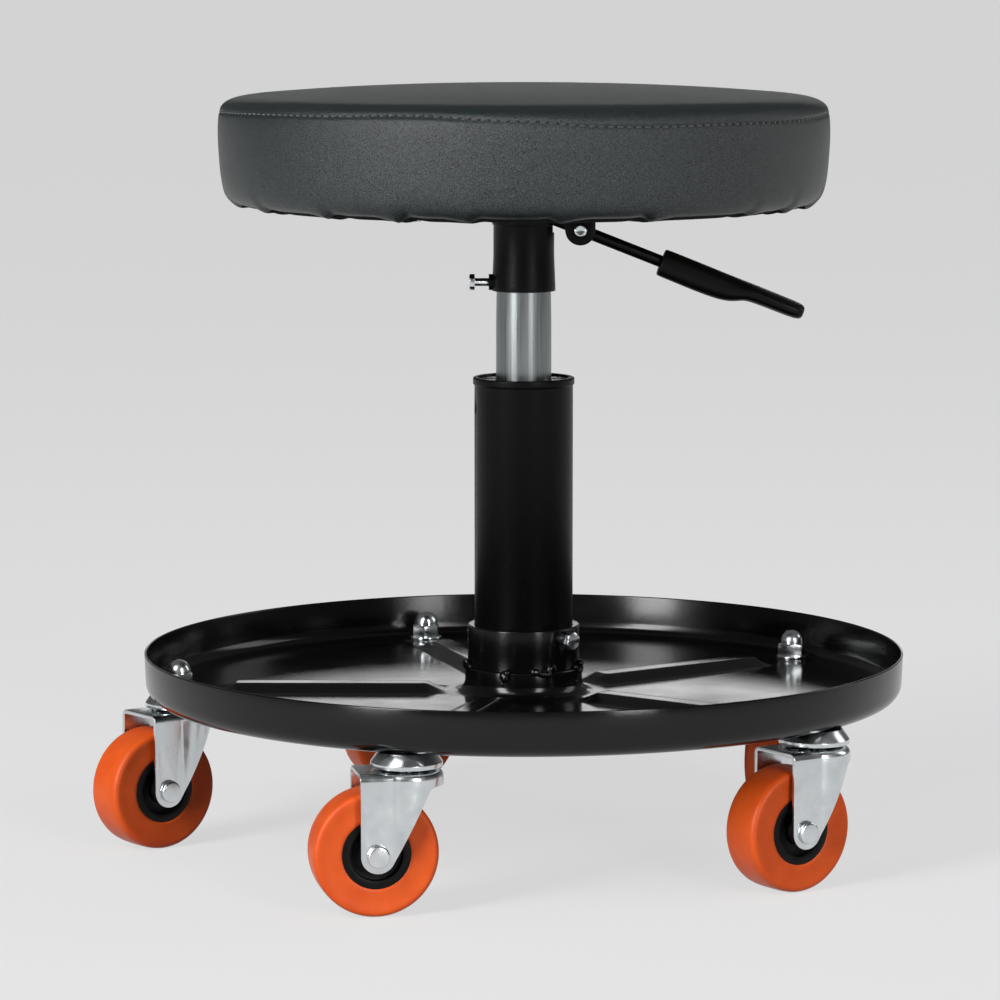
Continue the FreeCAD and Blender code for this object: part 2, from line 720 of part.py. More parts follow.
def thrust_balls():
    circle_r = (RACE_DIA / 2 + journal_r) / 2
    height = race_z + RACE_THICKNESS + THRUST_BALL_GAP + THRUST_BALL_DIA / 2
    ball = Part.makeSphere(THRUST_BALL_DIA / 2, Vector(circle_r, 0, height))
    return spread(ball, THRUST_BALL_COUNT)


def lift_buffer():
    return ring(BUFFER_DIA / 2, rod_r + FIT_CLEARANCE, shoulder_z, shoulder_z + BUFFER_THICKNESS)


def rod_clip():
    groove_r = journal_r - CLIP_GROOVE_DEPTH
    bore_r = groove_r + FIT_CLEARANCE
    clip = ring(CLIP_DIA / 2, bore_r, clip_z, clip_z + CLIP_THICKNESS)
    mouth = bore_r * CLIP_MOUTH_SHARE
    gap = Part.makeBox(
        CLIP_DIA,
        2 * mouth,
        CLIP_THICKNESS + 2 * CUT_OVERRUN,
        Vector(0, -mouth, clip_z - CUT_OVERRUN),
    )
    return clip.cut(gap)


def piston_rod():
    groove_r = journal_r - CLIP_GROOVE_DEPTH
    groove_low = clip_z - FIT_CLEARANCE
    groove_high = clip_z + CLIP_THICKNESS + FIT_CLEARANCE
    spigot_r = SPIGOT_DIA / 2
    spigot_top = piston_z + PISTON_LENGTH + SPIGOT_END
    side = [(0, clip_z - ROD_TAIL), (journal_r, clip_z - ROD_TAIL)]
    side += [(journal_r, groove_low), (groove_r, groove_low)]
    side += [(groove_r, groove_high), (journal_r, groove_high)]
    side += [(journal_r, shoulder_z), (rod_r, shoulder_z), (rod_r, piston_z)]
    side += [(spigot_r, piston_z), (spigot_r, spigot_top), (0, spigot_top)]
    return turned([(radius, height, 0) for radius, height in side])


def piston_seal_levels():
    middle = piston_z + PISTON_LENGTH / 2
    return middle - SEAL_WIDTH / 2, middle + SEAL_WIDTH / 2


def piston():
    outer = cylinder_bore_r - PISTON_CLEARANCE
    low, high = piston_seal_levels()
    body = ring(outer, SPIGOT_DIA / 2 + FIT_CLEARANCE, piston_z, piston_z + PISTON_LENGTH)
    groove = ring(outer + CUT_OVERRUN, outer - SEAL_DEPTH, low - FIT_CLEARANCE, high + FIT_CLEARANCE)
    return body.cut(groove)


def piston_seal():
    outer = cylinder_bore_r - RUNNING_CLEARANCE
    low, high = piston_seal_levels()
    return ring(outer, cylinder_bore_r - PISTON_CLEARANCE - SEAL_DEPTH + FIT_CLEARANCE, low, high)


def gas_cylinder():
    mouth_r = CYLINDER_MOUTH_DIA / 2
    side = [(mouth_r, cylinder_z), (cylinder_r, cylinder_z), (cylinder_r, taper_z)]
    side += [(cylinder_top_r, cylinder_top_z), (mouth_r, cylinder_top_z), (mouth_r, valve_top_z)]
    side += [(cylinder_bore_r, valve_top_z), (cylinder_bore_r, guide_z), (mouth_r, guide_z)]
    return turned([(radius, height, 0) for radius, height in side])


def rod_guide():
    outer = cylinder_bore_r - FIT_CLEARANCE
    return ring(outer, rod_r + RUNNING_CLEARANCE, guide_z, guide_z + ROD_GUIDE_LENGTH)


def valve_body():
    outer = cylinder_bore_r - FIT_CLEARANCE
    bore_r = VALVE_PIN_DIA / 2 + RUNNING_CLEARANCE
    return ring(outer, bore_r, valve_top_z - VALVE_BODY_LENGTH, valve_top_z)


def valve_pin():
    return rod(VALVE_PIN_DIA / 2, pin_top_z - VALVE_PIN_LENGTH, pin_top_z)


def cylinder_radius_at(height):
    """The radius of the cylinder's taper at a level."""
    return cylinder_r - CYLINDER_TAPER * (height - taper_z) / (cylinder_top_z - taper_z)


def set_screw_line(radius):
    return Vector(-radius, 0, seat_socket_z + SET_SCREW_HEIGHT)


def seat_socket():
    low_bore = cylinder_radius_at(seat_socket_z) + FIT_CLEARANCE
    top_bore = cylinder_top_r + FIT_CLEARANCE
    outer = low_bore + SEAT_SOCKET_WALL
    collar_z = plate_z - SEAT_COLLAR_HEIGHT
    side = [(low_bore, seat_socket_z), (outer + SEAT_SOCKET_FLARE, seat_socket_z)]
    side += [(outer, seat_socket_z + SEAT_SOCKET_FLARE_HEIGHT), (outer, collar_z)]
    side += [(outer + SEAT_COLLAR_STEP, collar_z), (outer + SEAT_COLLAR_STEP, plate_z)]
    side += [(top_bore, plate_z), (top_bore, cylinder_top_z)]
    sleeve = turned([(radius, height, 0) for radius, height in side])
    boss_end = outer + SEAT_SOCKET_FLARE + SET_SCREW_BOSS
    boss_start = low_bore + SEAT_SOCKET_WALL / 2
    boss = rod(SET_SCREW_BOSS_DIA / 2, boss_start, boss_end)
    thread = rod(SET_SCREW_DIA / 2 + FIT_CLEARANCE, 0, boss_end + CUT_OVERRUN)
    screw_axis = set_screw_line(0)
    slot_half = lever_rod_r + LEVER_SLOT_MARGIN
    slot_z = pivot_z - LEVER_SLOT_DROP
    slot = Part.makeBox(
        outer + CUT_OVERRUN,
        2 * slot_half,
        plate_z - slot_z + CUT_OVERRUN,
        Vector(0, -slot_half, slot_z),
    )
    socket = sleeve.fuse(aimed(boss, -X_AXIS, screw_axis))
    return socket.cut([aimed(thread, -X_AXIS, screw_axis), slot]).removeSplitter()


def socket_set_screw():
    height = seat_socket_z + SET_SCREW_HEIGHT
    low_bore = cylinder_radius_at(seat_socket_z) + FIT_CLEARANCE
    boss_end = low_bore + SEAT_SOCKET_WALL + SEAT_SOCKET_FLARE + SET_SCREW_BOSS
    head_x = boss_end + SET_SCREW_STANDOFF
    length = head_x - cylinder_radius_at(height - SET_SCREW_DIA / 2) - FIT_CLEARANCE
    screw = hex_bolt(SET_SCREW_DIA, length, SET_SCREW_FLATS, SET_SCREW_HEAD)
    return aimed(screw, -X_AXIS, set_screw_line(head_x))


def seat_bolt_places(height):
    signs = ((1, 1), (-1, 1), (-1, -1), (1, -1))
    return [Vector(bolt_offset * x, bolt_offset * y, height) for x, y in signs]


def seat_plate():
    half = PLATE_SIDE / 2
    outline = rounded_rectangle(-half, half, half, PLATE_CORNER, plate_z)
    plate = Part.Face(outline).extrude(Vector(0, 0, PLATE_THICKNESS))
    hole = rod(SEAT_BOLT_DIA / 2 + SEAT_BOLT_CLEARANCE, -CUT_OVERRUN, PLATE_THICKNESS + CUT_OVERRUN)
    return plate.cut([hole.translated(place) for place in seat_bolt_places(plate_z)])


def seat_bolts():
    length = PLATE_THICKNESS + BOARD_THICKNESS + TEE_FLANGE / 2
    bolt = hex_bolt(SEAT_BOLT_DIA, length, SEAT_BOLT_FLATS, SEAT_BOLT_HEAD)
    return [aimed(bolt, -Z_AXIS, place) for place in seat_bolt_places(plate_z)]


def tee_nuts():
    bore_r = SEAT_BOLT_DIA / 2 + FIT_CLEARANCE
    barrel_r = bore_r + TEE_BARREL_WALL
    profile = [
        (bore_r, -TEE_BARREL_LENGTH, 0),
        (barrel_r, -TEE_BARREL_LENGTH, 0),
        (barrel_r, 0, 0),
        (TEE_FLANGE_DIA / 2, 0, 0),
        (TEE_FLANGE_DIA / 2, TEE_FLANGE, 0),
        (bore_r, TEE_FLANGE, 0),
    ]
    nut = turned(profile)
    return [nut.translated(place) for place in seat_bolt_places(board_top_z)]


def lever_bracket():
    half = EAR_WIDTH / 2
    low_x = LEVER_PIVOT_REACH - half
    high_x = LEVER_PIVOT_REACH + half
    foot_z = pivot_z - half
    round_r = half - JOIN_TOLERANCE
    ear = [(low_x, plate_z, 0), (low_x, foot_z, round_r)]
    ear += [(high_x, foot_z, round_r), (high_x, plate_z, 0)]
    ears = slab(ear, -ear_outer, ear_outer)
    throat = Part.makeBox(
        EAR_WIDTH + 2 * CUT_OVERRUN,
        EAR_GAP,
        plate_z - EAR_SHEET - foot_z + CUT_OVERRUN,
        Vector(low_x - CUT_OVERRUN, -EAR_GAP / 2, foot_z - CUT_OVERRUN),
    )
    hole_r = PIVOT_BOLT_DIA / 2 + FIT_CLEARANCE
    hole = rod(hole_r, -ear_outer - CUT_OVERRUN, ear_outer + CUT_OVERRUN)
    return ears.cut([throat, aimed(hole, Y_AXIS, Vector(LEVER_PIVOT_REACH, 0, pivot_z))])


def lever_pivot_bolt():
    """The pivot screw, with its cross recess towards the front."""
    head_r = PIVOT_HEAD_DIA / 2
    nut_end = 2 * ear_outer + PIVOT_NUT_HEIGHT + PIVOT_BOLT_TAIL
    profile = [
        (0, -nut_end, 0),
        (PIVOT_BOLT_DIA / 2, -nut_end, 0),
        (PIVOT_BOLT_DIA / 2, 0, 0),
        (head_r, 0, 0),
        (head_r, PIVOT_HEAD_HEIGHT, PIVOT_HEAD_ROUND),
        (0, PIVOT_HEAD_HEIGHT, 0),
    ]
    arm = Part.makeBox(
        PIVOT_CROSS_LENGTH,
        PIVOT_CROSS_WIDTH,
        PIVOT_CROSS_DEPTH + CUT_OVERRUN,
        Vector(-PIVOT_CROSS_LENGTH / 2, -PIVOT_CROSS_WIDTH / 2, PIVOT_HEAD_HEIGHT - PIVOT_CROSS_DEPTH),
    )
    screw = turned(profile).cut(spread(arm, 4))
    return aimed(screw, -Y_AXIS, Vector(LEVER_PIVOT_REACH, -ear_outer, pivot_z))


def lever_pivot_nut():
    nut = hex_prism(PIVOT_NUT_FLATS, 0, PIVOT_NUT_HEIGHT)
    bore_r = PIVOT_BOLT_DIA / 2 + FIT_CLEARANCE
    nut = nut.cut(rod(bore_r, -CUT_OVERRUN, PIVOT_NUT_HEIGHT + CUT_OVERRUN))
    return aimed(nut, Y_AXIS, Vector(LEVER_PIVOT_REACH, ear_outer, pivot_z))


def lever_rod():
    slope = math.radians(LEVER_SLOPE_DEG)
    reach = GRIP_START + GRIP_ROD_DEPTH
    outer_end = Vector(LEVER_PIVOT_REACH + reach * math.cos(slope), 0, pivot_z - reach * math.sin(slope))
    bend = Vector(LEVER_PIVOT_REACH - LEVER_TIP_RISE / math.tan(slope), 0, tip_z)
    tip = Vector(-LEVER_TIP_OVERHANG, 0, tip_z)
    path = Part.Wire(rounded_edges([(tip, 0), (bend, LEVER_BEND_RADIUS), (outer_end, 0)], closed=False))
    section = Part.Wire([Part.makeCircle(lever_rod_r, tip, X_AXIS)])
    bar = path.makePipeShell([section], True, False)
    pivot = Vector(LEVER_PIVOT_REACH, 0, pivot_z)
    eye_half = EAR_GAP / 2 - FREE_CLEARANCE
    eye = aimed(rod(LEVER_EYE_DIA / 2, -eye_half, eye_half), Y_AXIS, pivot)
    bore = rod(PIVOT_BOLT_DIA / 2 + RUNNING_CLEARANCE, -ear_outer, ear_outer)
    return bar.fuse(eye).cut(aimed(bore, Y_AXIS, pivot))


def lever_grip():
    """The grip along X from the pivot, then turned down to the rod's slope."""
    top = GRIP_HEIGHT / 2
    end = GRIP_START + GRIP_LENGTH
    belly_x = GRIP_START + GRIP_BELLY_PLACE
    blade_z = top - BLADE_THICKNESS
    side = [
        (GRIP_START, top, GRIP_CORNER_ROUND),
        (end, top, BLADE_EDGE_ROUND),
        (end, blade_z, BLADE_EDGE_ROUND),
        (GRIP_START + BLADE_PLACE, blade_z, GRIP_BELLY_ROUND),
        (belly_x, -top - GRIP_BELLY_DROP, GRIP_BELLY_ROUND),
        (GRIP_START, -top, GRIP_CORNER_ROUND),
    ]
    plan = [
        (GRIP_START, -top, GRIP_CORNER_ROUND),
        (belly_x, -GRIP_BELLY_WIDTH / 2, GRIP_BELLY_ROUND),
        (end, -BLADE_WIDTH / 2, BLADE_END_ROUND),
        (end, BLADE_WIDTH / 2, BLADE_END_ROUND),
        (belly_x, GRIP_BELLY_WIDTH / 2, GRIP_BELLY_ROUND),
        (GRIP_START, top, GRIP_CORNER_ROUND),
    ]
    corners = [(Vector(x, y, -GRIP_HEIGHT), rounding) for x, y, rounding in plan]
    from_above = face_of(rounded_edges(corners)).extrude(Vector(0, 0, 2 * GRIP_HEIGHT))
    grip = slab(side, -BLADE_WIDTH, BLADE_WIDTH).common(from_above)
    bore = rod(lever_rod_r + FIT_CLEARANCE, GRIP_START - CUT_OVERRUN, GRIP_START + GRIP_ROD_DEPTH)
    grip = grip.cut(aimed(bore, X_AXIS, ORIGIN))
    grip = grip.rotated(ORIGIN, Y_AXIS, LEVER_SLOPE_DEG)
    return grip.translated(Vector(LEVER_PIVOT_REACH, 0, pivot_z))


def cushion(inset):
    """The cushion's outer form drawn in by the inset: rounded hem, drawn-in side and a low crown."""
    side_r = seat_r - inset
    low_r = side_r - COVER_DRAW_IN
    low_round = COVER_LOWER_ROUND - inset
    top_round = COVER_UPPER_ROUND - inset
    base_z = hem_z + inset
    top_z = seat_top_z - inset
    slope = math.radians(COVER_CROWN_DEG)
    crown_r = side_r - top_round + top_round * math.sin(slope)
    crown_z = top_z - crown_r * math.tan(slope / 2)
    centre_z = crown_z - top_round * math.cos(slope)
    low_z = base_z + low_round
    corner_lean = (math.pi / 2 - slope) / 2
    root = math.sqrt(0.5)
    axis_low = Vector(0, 0, base_z)
    hem_end = Vector(low_r - low_round, 0, base_z)
    hem_crest = Vector(low_r - low_round + low_round * root, 0, low_z - low_round * root)
    side_low = Vector(low_r, 0, low_z)
    side_middle = Vector(side_r - COVER_DRAW_IN * COVER_BULGE_SHARE, 0, (low_z + centre_z) / 2)
    side_high = Vector(side_r, 0, centre_z)
    edge_crest = Vector(
        side_r - top_round + top_round * math.cos(corner_lean),
        0,
        centre_z + top_round * math.sin(corner_lean),
    )
    crown_edge = Vector(crown_r, 0, crown_z)
    ball_r = crown_r / math.sin(slope)
    crown_middle = Vector(ball_r * math.sin(slope / 2), 0, top_z - ball_r * (1 - math.cos(slope / 2)))
    crown_top = Vector(0, 0, top_z)
    edges = [
        Part.makeLine(axis_low, hem_end),
        Part.Arc(hem_end, hem_crest, side_low).toShape(),
        Part.Arc(side_low, side_middle, side_high).toShape(),
        Part.Arc(side_high, edge_crest, crown_edge).toShape(),
        Part.Arc(crown_edge, crown_middle, crown_top).toShape(),
        Part.makeLine(crown_top, axis_low),
    ]
    return face_of(edges).revolve(ORIGIN, Z_AXIS, FULL_TURN_DEG)


def seam_level():
    """The seam lies just above the place where the side turns into the top edge."""
    slope = math.radians(COVER_CROWN_DEG)
    crown_r = seat_r - COVER_UPPER_ROUND + COVER_UPPER_ROUND * math.sin(slope)
    crown_z = seat_top_z - crown_r * math.tan(slope / 2)
    return crown_z - COVER_UPPER_ROUND * math.cos(slope) + SEAM_RISE


def staple_legs(size):
    """The two legs of one staple at +X, each grown by the size given."""
    radius = hem_r + STAPLE_INSET
    legs = []
    for side in (-1, 1):
        middle = side * (STAPLE_CROWN - STAPLE_WIRE) / 2
        legs.append(
            Part.makeBox(
                STAPLE_WIDTH + 2 * size,
                STAPLE_WIRE + 2 * size,
                STAPLE_LEG + size,
                Vector(radius - STAPLE_WIDTH / 2 - size, middle - STAPLE_WIRE / 2 - size, hem_z),
            )
        )
    return legs


def staple_holes():
    holes = []
    for leg in staple_legs(FIT_CLEARANCE):
        holes += spread(leg, STAPLE_COUNT)
    return holes


def cover_staples():
    radius = hem_r + STAPLE_INSET
    crown = Part.makeBox(
        STAPLE_WIDTH,
        STAPLE_CROWN,
        STAPLE_WIRE,
        Vector(radius - STAPLE_WIDTH / 2, -STAPLE_CROWN / 2, hem_z - STAPLE_WIRE),
    )
    staple = crown.fuse(staple_legs(0)).removeSplitter()
    return spread(staple, STAPLE_COUNT)


def seat_board():
    profile = [(0, board_z, 0), (board_r, board_z, BOARD_EDGE_ROUND)]
    profile += [(board_r, board_top_z, 0), (0, board_top_z, 0)]
    barrel_r = SEAT_BOLT_DIA / 2 + 2 * FIT_CLEARANCE + TEE_BARREL_WALL
    hole = rod(barrel_r, -BOARD_THICKNESS - CUT_OVERRUN, CUT_OVERRUN)
    holes = [hole.translated(place) for place in seat_bolt_places(board_top_z)]
    return turned(profile).cut(holes + staple_holes())


def seat_foam():
    body = cushion(COVER_THICKNESS + FIT_CLEARANCE)
    board_space = rod(board_r + FIT_CLEARANCE, hem_z - CUT_OVERRUN, board_top_z)
    flange = rod(TEE_FLANGE_DIA / 2 + FIT_CLEARANCE, -CUT_OVERRUN, TEE_FLANGE + FIT_CLEARANCE)
    flanges = [flange.translated(place) for place in seat_bolt_places(board_top_z)]
    return body.cut([board_space] + flanges)


def cover_shell():
    return cushion(0).cut([cushion(COVER_THICKNESS), rod(hem_r, hem_z - CUT_OVERRUN, board_z)])


def seat_cover_top(shell):
    return shell.common(rod(seat_r + CUT_OVERRUN, seam_level(), seat_top_z + CUT_OVERRUN))


def seat_cover_band(shell):
    below = rod(seat_r + CUT_OVERRUN, hem_z - CUT_OVERRUN, seam_level())
    return shell.common(below).cut(staple_holes())


def write_casters():
    pieces = {
        "caster_fork": caster_fork(),
        "wheel_axle": wheel_axle(),
        "wheel_core": wheel_core(),
        "wheel_tyre": wheel_tyre(),
    }
    groups = {
        "swivel_caps": swivel_cap(),
        "swivel_balls": swivel_balls(),
        "caster_stems": caster_stem(),
        "stem_washers": stem_washer(),
        "acorn_nuts": acorn_nut(),
    }
    places = range(CASTER_COUNT)
    for name, shape in pieces.items():
        for index in places:
            save(name + "_" + CASTER_NAMES[index], caster_place(shape, index))
    for name, shape in groups.items():
        save(name, *[solid for index in places for solid in caster_place(shape, index).Solids])


def write_base():
    save("tray", tray())
    save("column_socket", column_socket())
    save("socket_lock_bolt", socket_lock_bolt())
    save("socket_welds", *socket_welds())
    save("column_tube", column_tube())
    save("guide_bush", guide_bush())
    save("thrust_race_lower", thrust_race(race_z))
    save("thrust_balls", *thrust_balls())


def write_gas_spring():
    save("thrust_race_upper", thrust_race(upper_race_z))
    save("lift_buffer", lift_buffer())
    save("rod_clip", rod_clip())
    save("piston_rod", piston_rod())
    save("piston", piston())
    save("piston_seal", piston_seal())
    save("gas_cylinder", gas_cylinder())
    save("rod_guide", rod_guide())
    save("valve_body", valve_body())
    save("valve_pin", valve_pin())


def write_lever():
    save("lever_bracket", lever_bracket())
    save("lever_pivot_bolt", lever_pivot_bolt())
    save("lever_pivot_nut", lever_pivot_nut())
    save("lever_rod", lever_rod())
    save("lever_grip", lever_grip())


def write_seat():
    save("seat_socket", seat_socket())
    save("socket_set_screw", socket_set_screw())
    save("seat_plate", seat_plate())
    save("seat_bolts", *seat_bolts())
    save("tee_nuts", *tee_nuts())
    save("seat_board", seat_board())
    save("seat_foam", seat_foam())
    shell = cover_shell()
    save("seat_cover_top", seat_cover_top(shell))
    save("seat_cover_band", seat_cover_band(shell))
    save("cover_staples", *cover_staples())


os.makedirs("parts", exist_ok=True)
write_casters()
write_base()
write_gas_spring()
write_lever()
write_seat()
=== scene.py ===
import json
import math
import random

import bpy
from mathutils import Matrix, Vector


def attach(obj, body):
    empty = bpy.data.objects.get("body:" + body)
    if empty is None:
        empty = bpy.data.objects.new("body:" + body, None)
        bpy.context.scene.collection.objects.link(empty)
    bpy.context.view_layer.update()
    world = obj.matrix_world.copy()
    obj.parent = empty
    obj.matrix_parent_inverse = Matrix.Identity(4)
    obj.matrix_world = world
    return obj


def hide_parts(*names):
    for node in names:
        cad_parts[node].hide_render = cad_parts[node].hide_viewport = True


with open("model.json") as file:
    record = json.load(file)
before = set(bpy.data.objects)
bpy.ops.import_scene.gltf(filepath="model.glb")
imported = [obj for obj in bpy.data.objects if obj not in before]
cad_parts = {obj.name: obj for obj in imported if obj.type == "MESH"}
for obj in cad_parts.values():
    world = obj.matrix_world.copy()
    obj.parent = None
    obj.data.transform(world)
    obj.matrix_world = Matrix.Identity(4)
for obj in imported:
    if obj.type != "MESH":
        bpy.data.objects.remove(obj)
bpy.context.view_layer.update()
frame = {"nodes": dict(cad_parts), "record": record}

bpy.ops.object.select_all(action="DESELECT")

# Caster forks, swivel caps, washers, acorn nuts and axle rivets.
# Pressed and turned mild steel, deburred, then plated with bright zinc and riveted or screwed together.
# Each is its CAD solid with the cut edges eased, because deburring and plating round them.
behaviour = frame["record"]["behaviour"]
body_of = {node: body for body, nodes in behaviour["bodies"].items() for node in nodes}
corners = ("left", "back_left", "back_right", "front_right", "front_left")
same_place = 1e-6
flat_deg = 0.05
pressed_edge, cut_edge, screw_edge = 0.0005, 0.0004, 0.0003
pressed_steps = 3


def linear(code):
    """The linear colour of an sRGB hex value."""
    parts = [int(code[start:start + 2], 16) / 255 for start in (1, 3, 5)]
    return [part / 12.92 if part <= 0.04045 else ((part + 0.055) / 1.055) ** 2.4 for part in parts] + [1.0]


def add_node(tree, kind, settings, inputs):
    """Adds a node, sets its properties, and sets or links its inputs."""
    node = tree.nodes.new(kind)
    for key, value in settings.items():
        setattr(node, key, value)
    for key, value in inputs.items():
        if isinstance(value, bpy.types.NodeSocket):
            tree.links.new(value, node.inputs[key])
        else:
            node.inputs[key].default_value = value
    return node


def new_finish(name, constants):
    """A material with these constants on its shader, and the place that its patterns are laid out in."""
    finish = bpy.data.materials.new(name)
    finish.use_nodes = True
    shader = finish.node_tree.nodes["Principled BSDF"]
    for key, value in constants.items():
        shader.inputs[key].default_value = value
    place = add_node(finish.node_tree, "ShaderNodeTexCoord", {}, {}).outputs["Object"]
    return finish, finish.node_tree, shader, place


def patches(tree, place, size, detail):
    """A cloudy pattern with patches of about this size."""
    clouds = add_node(tree, "ShaderNodeTexNoise", {}, {"Vector": place, "Scale": 1 / size, "Detail": detail})
    return clouds.outputs["Fac"]


def blend(tree, pattern, dark, pale):
    """A colour that goes from dark to pale as the pattern rises."""
    return add_node(tree, "ShaderNodeMix", {"data_type": "RGBA"},
                    {0: pattern, 6: linear(dark), 7: linear(pale)}).outputs[2]


def shaded(tree, shader, pattern, dark, pale):
    """Colours a surface from dark to pale as the pattern rises."""
    tree.links.new(blend(tree, pattern, dark, pale), shader.inputs["Base Color"])


def dulled(tree, shader, pattern, smooth, rough):
    """Takes the shine of a surface from smooth to rough as the pattern rises."""
    dull = add_node(tree, "ShaderNodeMapRange", {},
                    {"Value": pattern, "From Min": 0.3, "From Max": 0.7, "To Min": smooth, "To Max": rough})
    tree.links.new(dull.outputs[0], shader.inputs["Roughness"])


def raised(tree, shader, pattern, strength, depth):
    """Raises a surface as the pattern rises, as a relief too fine for the mesh."""
    relief = add_node(tree, "ShaderNodeBump", {}, {"Height": pattern, "Strength": strength, "Distance": depth})
    tree.links.new(relief.outputs[0], shader.inputs["Normal"])


def eased(node, width, segments=2, sharp_deg=32.0):
    """A copy of a CAD node with its sharp edges rounded."""
    piece = bpy.data.objects.new("eased_" + node, frame["nodes"][node].data.copy())
    bpy.context.scene.collection.objects.link(piece)
    bpy.ops.object.select_all(action="DESELECT")
    piece.select_set(True)
    bpy.context.view_layer.objects.active = piece
    bpy.ops.object.mode_set(mode="EDIT")
    bpy.ops.mesh.select_all(action="SELECT")
    bpy.ops.mesh.remove_doubles(threshold=same_place)
    bpy.ops.mesh.dissolve_limited(angle_limit=math.radians(flat_deg))
    bpy.ops.object.mode_set(mode="OBJECT")
    ease = piece.modifiers.new("ease", "BEVEL")
    ease.width = width
    ease.segments = segments
    ease.limit_method = "ANGLE"
    ease.angle_limit = math.radians(sharp_deg)
    ease.use_clamp_overlap = True
    bpy.ops.object.modifier_apply(modifier=ease.name)
    bpy.ops.object.shade_smooth_by_angle(angle=math.radians(sharp_deg))
    return piece


def settle(piece, finish, *nodes):
    """Gives a piece its finish, and puts it in the place of these CAD nodes and on their body."""
    piece.data.materials.clear()
    piece.data.materials.append(finish)
    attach(piece, body_of[nodes[0]])
    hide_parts(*nodes)


# Bright zinc plate, barrel plated: a pale blue-grey metal with soft clouds in its shine and a faint rolled grain.
zinc, tree, shader, place = new_finish("bright_zinc_plate", {"Metallic": 1.0})
cloud = patches(tree, place, size=0.008, detail=5.0)
grit = patches(tree, place, size=0.0007, detail=2.0)
shaded(tree, shader, cloud, dark="#bcc3c7", pale="#eceff0")
dulled(tree, shader, cloud, smooth=0.15, rough=0.3)
raised(tree, shader, grit, strength=0.12, depth=0.0001)

for corner in corners:
    settle(eased("caster_fork_" + corner, pressed_edge, pressed_steps), zinc, "caster_fork_" + corner)
    settle(eased("wheel_axle_" + corner, cut_edge), zinc, "wheel_axle_" + corner)
for node in ("swivel_caps", "acorn_nuts", "stem_washers"):
    settle(eased(node, screw_edge), zinc, node)

# Tyres: polyurethane moulded on the core, with a rounded shoulder beside a nearly flat tread.
# The side dishes in slightly towards the core.
tyre_half_width = 0.011
tyre_bore = 0.0164
tyre_side = [
    (tyre_bore, 0.0102), (0.0169, 0.01055), (0.0182, 0.0106), (0.0215, 0.0105), (0.0245, 0.0107),
    (0.0264, 0.01095), (0.0274, tyre_half_width), (0.0282, 0.01085), (0.0289, 0.0104), (0.0294, 0.0097),
    (0.0297, 0.0088), (0.02985, 0.0075), (0.02995, 0.005), (0.03, 0.002),
]
tyre_segments = 128


def face_outward():
    """Turns all faces of the piece in edit mode outward, and leaves that mode."""
    bpy.ops.mesh.select_all(action="SELECT")
    bpy.ops.mesh.normals_make_consistent(inside=False)
    bpy.ops.object.mode_set(mode="OBJECT")


def turned(name, profile, segments, sharp_deg=40.0):
    """A round piece about Z, drawn out from a circle ring by ring through its profile of radius and height."""
    bpy.ops.object.select_all(action="DESELECT")
    radius, height = profile[0]
    bpy.ops.mesh.primitive_circle_add(vertices=segments, radius=radius, location=(0, 0, height))
    piece = bpy.context.object
    piece.name = name
    bpy.ops.object.transform_apply(location=True, rotation=False, scale=False)
    bpy.ops.object.mode_set(mode="EDIT")
    bpy.ops.mesh.select_all(action="SELECT")
    for next_radius, next_height in profile[1:]:
        bpy.ops.mesh.extrude_edges_move(TRANSFORM_OT_translate={"value": (0, 0, next_height - height)})
        growth = next_radius / radius
        bpy.ops.transform.resize(value=(growth, growth, 1))
        radius, height = next_radius, next_height
    bpy.ops.mesh.select_all(action="SELECT")
    bpy.ops.mesh.remove_doubles(threshold=same_place)
    face_outward()
    bpy.ops.object.shade_smooth_by_angle(angle=math.radians(sharp_deg))
    return piece


# Cast polyurethane, dyed through: a strong orange with a soft satin shine, faintly mottled and finely scuffed.
orange, tree, shader, place = new_finish("orange_polyurethane", {
    "IOR": 1.5, "Specular IOR Level": 0.35, "Subsurface Weight": 0.04, "Subsurface Radius": (0.002, 0.0007, 0.0003),
})
mottle = patches(tree, place, size=0.012, detail=6.0)
scuff = patches(tree, place, size=0.0012, detail=4.0)
shaded(tree, shader, mottle, dark="#d24711", pale="#f0651f")
dulled(tree, shader, scuff, smooth=0.36, rough=0.52)
raised(tree, shader, scuff, strength=0.15, depth=0.0002)

tyre_lower = [(radius, -height) for radius, height in reversed(tyre_side)]
tyre = turned("tyre", tyre_side + tyre_lower + [tyre_side[0]], tyre_segments)
roll_joints = {joint["child"]: joint for joint in behaviour["joints"] if "wheel_roll" in joint["name"]}


def at_wheel(piece, corner):
    """A copy of a piece that was turned about Z, moved to that caster's axle, with its place in its mesh."""
    joint = roll_joints["wheel_" + corner]
    turn = Vector((0, 0, 1)).rotation_difference(Vector(joint["axis"])).to_matrix().to_4x4()
    copy = bpy.data.objects.new(piece.name + "_" + corner, piece.data.copy())
    copy.data.transform(Matrix.Translation(joint["pos_m"]) @ turn)
    bpy.context.scene.collection.objects.link(copy)
    return copy


for corner in corners:
    settle(at_wheel(tyre, corner), orange, "wheel_tyre_" + corner)
bpy.data.objects.remove(tyre)

# Wheel cores: a hub and rim moulded in black polypropylene, which carry the tyre and turn on the axle rivet.
# Moulded polypropylene: near black, with a dull shine from the eroded surface of its mould.
moulded, tree, shader, place = new_finish("black_polypropylene", {"IOR": 1.49, "Specular IOR Level": 0.15})
grain = patches(tree, place, size=0.0006, detail=3.0)
shaded(tree, shader, grain, dark="#050505", pale="#0e0e0e")
dulled(tree, shader, grain, smooth=0.34, rough=0.5)
raised(tree, shader, grain, strength=0.25, depth=0.0001)
for corner in corners:
    settle(eased("wheel_core_" + corner, cut_edge), moulded, "wheel_core_" + corner)

